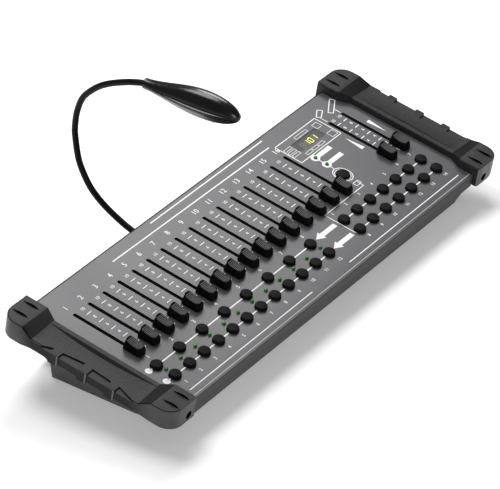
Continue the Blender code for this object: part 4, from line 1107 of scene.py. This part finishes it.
def cheek_groove():
    """Parting lines on the outer edges of the corner blocks and ramps, and seams at the teeth, with
    painted shade inside them.
    """
    radii = (GROOVE_RADIUS, GROOVE_RADIUS)
    rear = [(256.9, -9.4, REST_TOP), (256.9, REAR_RAMP[1], REST_TOP)]
    rear += [(255.7, REAR_RAMP[0], BLOCK_TOP)]
    rear += [(x, v, BLOCK_TOP) for x, v in arc(REAR_CORNER, radii, 0, 72, 8)]
    front = [(257.5, -106.6, REST_TOP), (256.9, FRONT_RAMP[1], REST_TOP)]
    front += [(254.4, FRONT_RAMP[0], BLOCK_TOP)]
    front += [(x, v, BLOCK_TOP) for x, v in arc(FRONT_CORNER, radii, 0, -80, 8)]
    low, high = Vector((0.0, 0.0, -1.1)), Vector((0.0, 0.0, 1.6))
    bm = bmesh.new()
    for path in (rear, front):
        rings = []
        for i, point in enumerate(path):
            ahead, behind = path[min(i + 1, len(path) - 1)], path[max(i - 1, 0)]
            across = Vector((ahead[1] - behind[1], behind[0] - ahead[0], 0.0))
            side = across.normalized() * GROOVE_HALF
            near, far = Vector(point) - side, Vector(point) + side
            rings.append([near + low, far + low, far + high, near + high])
        add_loft(bm, rings)
    for tooth, inner in zip(TEETH, (251.6, 249.0, 252.8)):
        near, far = tooth + 1.15, tooth + TOOTH + 0.15
        seam = [(inner, far - SEAM), (259.1, far - SEAM), (259.1, near)]
        seam += [(259.1 + SEAM, near), (259.1 + SEAM, far), (inner, far)]
        add_plate(bm, seam, 2.9, 6.0)
    mark(bm, RAMP_AND_RECESS_SHADE)
    return bm


def sort_finishes(bm):
    """Finishes for the darker ramps, the outer walls in painted light, the long facet in painted
    shade and the inner front corner in a painted highlight.
    """
    bm.normal_update()
    for face in bm.faces:
        if face.material_index:
            continue
        place, normal = face.calc_center_median(), face.normal
        at_front, at_rear = place.y < FRONT_RAMP[1] - NEAR, place.y > REAR_RAMP[1] + NEAR
        on_block = at_front or at_rear
        on_ramp = on_block and FRONT_RAMP[0] + NEAR < place.y < REAR_RAMP[0] - NEAR
        # The rounding of the inner front corner takes a painted highlight
        if place.y < -145.2 and -0.95 < normal.x < -0.4 and abs(normal.z) < 0.3:
            face.material_index = EDGE_HIGHLIGHT
        # The ramps take the darker, smoother finish
        elif on_ramp and normal.z > 0.6 and place.z > 4.3:
            face.material_index = RAMP_AND_RECESS_SHADE
        # Outer walls take the lighter copy of the plastic: painted light
        elif abs(normal.z) < 0.6 and place.z > -11.2 and normal.x > (-0.5 if on_block else 0.5):
            face.material_index = LIT_WALL
        # The long facet takes the darker copy of the plastic: painted shade
        elif not on_block and 230.5 < place.x < 234.3 and normal.x > 0.2:
            face.material_index = SHADED_FACET


class DESK_OT_cheeks(bpy.types.Operator):
    """Moulded plastic end cheeks with their sunk screws"""

    bl_idname = "lighting_desk.cheeks"
    bl_label = "End cheeks"

    def execute(self, context):
        place = slope_place()
        looks = {
            RAMP_AND_RECESS_SHADE: finish("smooth cheek plastic"),
            LIT_WALL: wall_finish(),
            SHADED_FACET: finish("dark cheek plastic"),
            EDGE_HIGHLIGHT: finish("worn cheek edge"),
            # Black cap plastic on the slots' walls: painted shade
            SLOT_SHADE: finish("fader cap plastic"),
        }
        for word, side in (("left", -1.0), ("right", 1.0)):
            bm = carve(cheek_shape(), cheek_foot(context.scene.desk_sizes), "UNION")
            bm = carve(bm, cheek_teeth(), "UNION")
            for tool in (cheek_ledges(), cheek_slots(side), cheek_groove()):
                bm = carve(bm, tool)
            sort_finishes(bm)
            bmesh.ops.scale(bm, vec=(side, 1.0, 1.0), verts=bm.verts)
            name, look = f"{word}_cheek", finish("cheek plastic")
            moulding = piece(
                name + "_moulding", bm, "desk", look, place, stands_for=[name]
            )
            for number in sorted(looks):
                moulding.data.materials.append(looks[number])
            dress(name + "_screw", finish("plated steel"))
        return {"FINISHED"}


# Base tray, boards and rear sockets
class DESK_OT_tray(bpy.types.Operator):
    """Finishes of the base tray, the boards inside it and the rear sockets"""

    bl_idname = "lighting_desk.tray"
    bl_label = "Tray and sockets"

    def execute(self, context):
        for look, nodes in (
            ("tray powder coat", ("base_tray",)),
            ("board coating", ("fader_board", "key_board", "display_module")),
            ("socket plastic", ("dmx_socket", "midi_socket", "power_inlet")),
            ("button plastic", ("power_rocker",)),
            ("plated steel", ("lamp_socket",)),
        ):
            for node in nodes:
                dress(node, finish(look))
        return {"FINISHED"}


# Gooseneck lamp, whose neck is drawn as distances behind the slope's origin and heights
LAMP_X = -50.0
NECK_STEP = 1.5
NECK_SIDES = 20
HEAD_REAR, HEAD_LENGTH = 34.3, 102.0
HEAD_WIDEST = 0.63
HEAD_START, HEAD_TIP = 5.0, 0.1
HEAD_HALF, HEAD_CROWN, HEAD_BELLY = 11.2, 14.6, 12.2
HEAD_STEPS = 48
HEAD_AXIS, HEAD_RISE = 203.8, 0.6
SWELL_ACROSS, SWELL_UP = 1.24, 1.75
RIDGE, RIDGE_ANGLE, RIDGE_ABOVE, RIDGE_BELOW = 2.2, 3.8, 4.0, 18.0
POCKET_HALF, POCKET_ENDS, POCKET_SPAN = 5.8, (-29.75, 0.85), (180.0, 196.7)
# Angles from the belly to the crown, close together at the ridge
HEAD_FLANK = [-90, -76, -62, -48, -36, -26, -19, -14, -9, -5, -1, 1.4, 3.0, 3.8, 5.0, 6.2]
HEAD_FLANK += [7.4, 8.6, 9.8, 11.2, 13, 17, 23, 34, 48, 62, 76]
NECK_LINE = [
    (43.0, 40.4), (52.0, 42.4), (65.6, 47.9), (83.9, 58.1), (97.7, 70.0), (106.5, 83.9),
    (112.0, 98.9), (114.8, 121.6), (114.4, 132.0), (112.1, 145.4), (107.0, 159.6),
    (100.2, 169.4), (86.9, 181.4), (73.4, 189.6), (57.0, 196.8), (45.3, 200.8), (36.3, 203.1),
    (29.0, 203.7),
]


def neck_path(sizes):
    """The neck's line in the room, in even steps."""
    base = sizes.slope_y / MM
    fine = smooth_path([Vector((LAMP_X, base + y, z)) for y, z in NECK_LINE], 60)
    path = [fine[0]]
    for point in fine:
        if (point - path[-1]).length > NECK_STEP:
            path.append(point)
    return path


def neck_shape(sizes):
    """A round tube along the neck's line."""
    path = neck_path(sizes)
    radius = sizes.neck_radius / MM
    across = Vector((1.0, 0.0, 0.0))
    rings = []
    for i, point in enumerate(path):
        along = (path[min(i + 1, len(path) - 1)] - path[max(i - 1, 0)]).normalized()
        upright = along.cross(across)
        ring = []
        for k in range(NECK_SIDES):
            angle = 2 * math.pi * k / NECK_SIDES
            ring.append(point + (across * math.cos(angle) + upright * math.sin(angle)) * radius)
        rings.append(ring)
    return add_loft(bmesh.new(), rings)


def head_swell(share, power):
    """Share of the head's full swell at a share of its length, and the size it grows from."""
    if share < HEAD_WIDEST:
        return math.sin(share / HEAD_WIDEST * math.pi / 2) ** power, HEAD_START
    past = (share - HEAD_WIDEST) / (1.0 - HEAD_WIDEST)
    return math.sqrt(max(0.0, 1.0 - past ** 2)), HEAD_TIP


def head_shape(sizes):
    """A drop, flat at the neck, with a low ridge where its two shells meet."""
    rear = sizes.slope_y / MM + HEAD_REAR
    angles = (*HEAD_FLANK, 90, *(180 - angle for angle in reversed(HEAD_FLANK[1:])))
    rings = []
    for i in range(HEAD_STEPS + 1):
        share = 0.5 - 0.5 * math.cos(math.pi * i / HEAD_STEPS)
        swell_x, start = head_swell(share, SWELL_ACROSS)
        swell_z, start = head_swell(share, SWELL_UP)
        half_x = start + (HEAD_HALF - start) * swell_x
        y, middle = rear - HEAD_LENGTH * share, HEAD_AXIS + HEAD_RISE * share
        ring = []
        for angle in angles:
            x, z = math.cos(math.radians(angle)), math.sin(math.radians(angle))
            tilt = (angle if angle <= 90 else 180 - angle) - RIDGE_ANGLE
            spread = RIDGE_ABOVE if tilt > 0 else RIDGE_BELOW
            ridge = RIDGE * swell_x * math.exp(-((tilt / spread) ** 2))
            half_z = start + ((HEAD_CROWN if z > 0 else HEAD_BELLY) - start) * swell_z
            ring.append((LAMP_X + (half_x + ridge) * x, y, middle + half_z * z))
        rings.append(ring)
    pocket = bmesh.new()
    low, high = zip(POCKET_ENDS, POCKET_SPAN)
    add_box(pocket, (LAMP_X - POCKET_HALF, *low), (LAMP_X + POCKET_HALF, *high))
    return carve(add_loft(bmesh.new(), rings), pocket)


def collar_shape():
    """Plug and collar at the foot of the neck."""
    profile = [(0.0, -8.6), (3.8, -8.6), (3.8, 0.0), (5.2, 0.0), (5.2, 7.4), (4.9, 8.3)]
    profile += [(4.2, 8.9), (3.0, 9.2), (0.0, 9.2)]
    turn = Matrix.Rotation(-math.pi / 2, 4, "X")
    bm = bmesh.new()
    add_turned(bm, profile, Matrix.Translation((LAMP_X, 48.5, 40.0)) @ turn)
    return bm


class DESK_OT_lamp(bpy.types.Operator):
    """Gooseneck lamp: collar, neck, glossy head and lens"""

    bl_idname = "lighting_desk.lamp"
    bl_label = "Lamp"

    def execute(self, context):
        sizes = context.scene.desk_sizes
        look = finish("lamp gloss")
        bm = neck_shape(sizes)
        bm.transform(ROOM)
        bmesh.ops.recalc_face_normals(bm, faces=bm.faces)
        for face in bm.faces:
            face.smooth = True
        neck = new_object("lamp_neck", bm)
        neck.data.materials.append(finish("neck sleeve"))
        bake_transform(neck)
        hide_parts("gooseneck_upper", "gooseneck_lower")
        piece("lamp_collar", collar_shape(), "lamp_lower", look)
        head = head_shape(sizes)
        piece("lamp_head", head, "lamp_upper", look, stands_for=["lamp_housing"])
        dress("lamp_lens", finish("clear lens"))
        return {"FINISHED"}


# Stage: each light's name, place, width and power, and the camera that matches the photograph
LIGHTS = (
    ("key", (0.0, 0.66, 1.45), 0.9, 15.0),
    ("side", (0.85, 0.52, 1.22), 0.8, 14.0),
    ("fill", (-1.55, -1.35, 0.65), 0.9, 9.0),
)
LIGHT_TARGET = (0.0, 0.0, 0.05)
FLOOR_HALF, FLOOR_LIFT = 8.0, 0.27
WORLD_LEVEL = 0.2
CAMERA_LENS = 259.2
CAMERA_PLACE = (-2.183757, -1.596576, 1.835479)
CAMERA_TURN = (56.2257, -0.1365, -54.2278)


class DESK_OT_stage(bpy.types.Operator):
    """Pale floor, soft light and the camera"""

    bl_idname = "lighting_desk.stage"
    bl_label = "Stage"

    def execute(self, context):
        scene = context.scene
        bm = bmesh.new()
        bmesh.ops.create_grid(bm, x_segments=1, y_segments=1, size=FLOOR_HALF)
        floor = new_object("floor", bm)
        pale = finish("pale floor")
        self.brighten(pale.node_tree, FLOOR_LIFT)
        floor.data.materials.append(pale)
        for light in LIGHTS:
            self.lamp(scene, *light)
        world = bpy.data.worlds.new("studio")
        world.use_nodes = True
        sky = world.node_tree.nodes["Background"]
        sky.inputs["Color"].default_value = (1.0, 1.0, 1.0, 1.0)
        sky.inputs["Strength"].default_value = WORLD_LEVEL
        scene.world = world
        scene.view_settings.view_transform = "Standard"
        lens = bpy.data.cameras.new("camera")
        lens.sensor_fit = "HORIZONTAL"
        lens.sensor_width = 36.0
        lens.lens = CAMERA_LENS
        lens.clip_end = 50.0
        camera = bpy.data.objects.new("camera", lens)
        camera.location = CAMERA_PLACE
        camera.rotation_euler = [math.radians(angle) for angle in CAMERA_TURN]
        scene.collection.objects.link(camera)
        scene.camera = camera
        return {"FINISHED"}

    def brighten(self, tree, strength):
        """Lifts the floor where it is seen directly, mirrored or through a clear piece."""
        path = add_node(tree, "LightPath")
        seen = add_node(tree, "Math", operation="MAXIMUM")
        through = add_node(tree, "Math", operation="MAXIMUM")
        level = add_node(tree, "Math", {1: strength}, operation="MULTIPLY")
        shader = tree.nodes["Principled BSDF"]
        shader.inputs["Emission Color"].default_value = (1.0, 1.0, 1.0, 1.0)
        join(
            tree,
            (path, "Is Camera Ray", seen, 0), (path, "Is Glossy Ray", seen, 1),
            (seen, "Value", through, 0), (path, "Is Transmission Ray", through, 1),
            (through, "Value", level, 0), (level, "Value", shader, "Emission Strength"),
        )

    def lamp(self, scene, name, place, size, power):
        data = bpy.data.lights.new(name, "AREA")
        data.shape = "DISK"
        data.size = size
        data.energy = power
        light = bpy.data.objects.new(name, data)
        light.location = place
        aim = Vector(LIGHT_TARGET) - Vector(place)
        light.rotation_euler = aim.to_track_quat("-Z", "Y").to_euler()
        scene.collection.objects.link(light)


class DESK_PT_sidebar(bpy.types.Panel):
    """Lists the desk's pieces"""

    bl_label = "Lighting desk"
    bl_idname = "DESK_PT_sidebar"
    bl_space_type = "VIEW_3D"
    bl_region_type = "UI"
    bl_category = "Desk"

    def draw(self, context):
        for operator in OPERATORS:
            self.layout.operator(operator.bl_idname)


OPERATORS = (
    DESK_OT_stage, DESK_OT_panel, DESK_OT_print, DESK_OT_faders, DESK_OT_buttons,
    DESK_OT_indicators, DESK_OT_display, DESK_OT_cheeks, DESK_OT_tray, DESK_OT_lamp,
)
CLASSES = (DeskSizes, DeskColours, *OPERATORS, DESK_PT_sidebar)


def register():
    for item in CLASSES:
        bpy.utils.register_class(item)
    bpy.types.Scene.desk_sizes = PointerProperty(type=DeskSizes)
    bpy.types.Scene.desk_colours = PointerProperty(type=DeskColours)


def unregister():
    del bpy.types.Scene.desk_colours
    del bpy.types.Scene.desk_sizes
    for item in reversed(CLASSES):
        bpy.utils.unregister_class(item)


def main():
    register()
    bpy.ops.lighting_desk.stage()
    bpy.ops.lighting_desk.panel()
    bpy.ops.lighting_desk.print()
    bpy.ops.lighting_desk.faders()
    bpy.ops.lighting_desk.buttons()
    bpy.ops.lighting_desk.indicators()
    bpy.ops.lighting_desk.display()
    bpy.ops.lighting_desk.cheeks()
    bpy.ops.lighting_desk.tray()
    bpy.ops.lighting_desk.lamp()


if __name__ == "__main__":
    main()
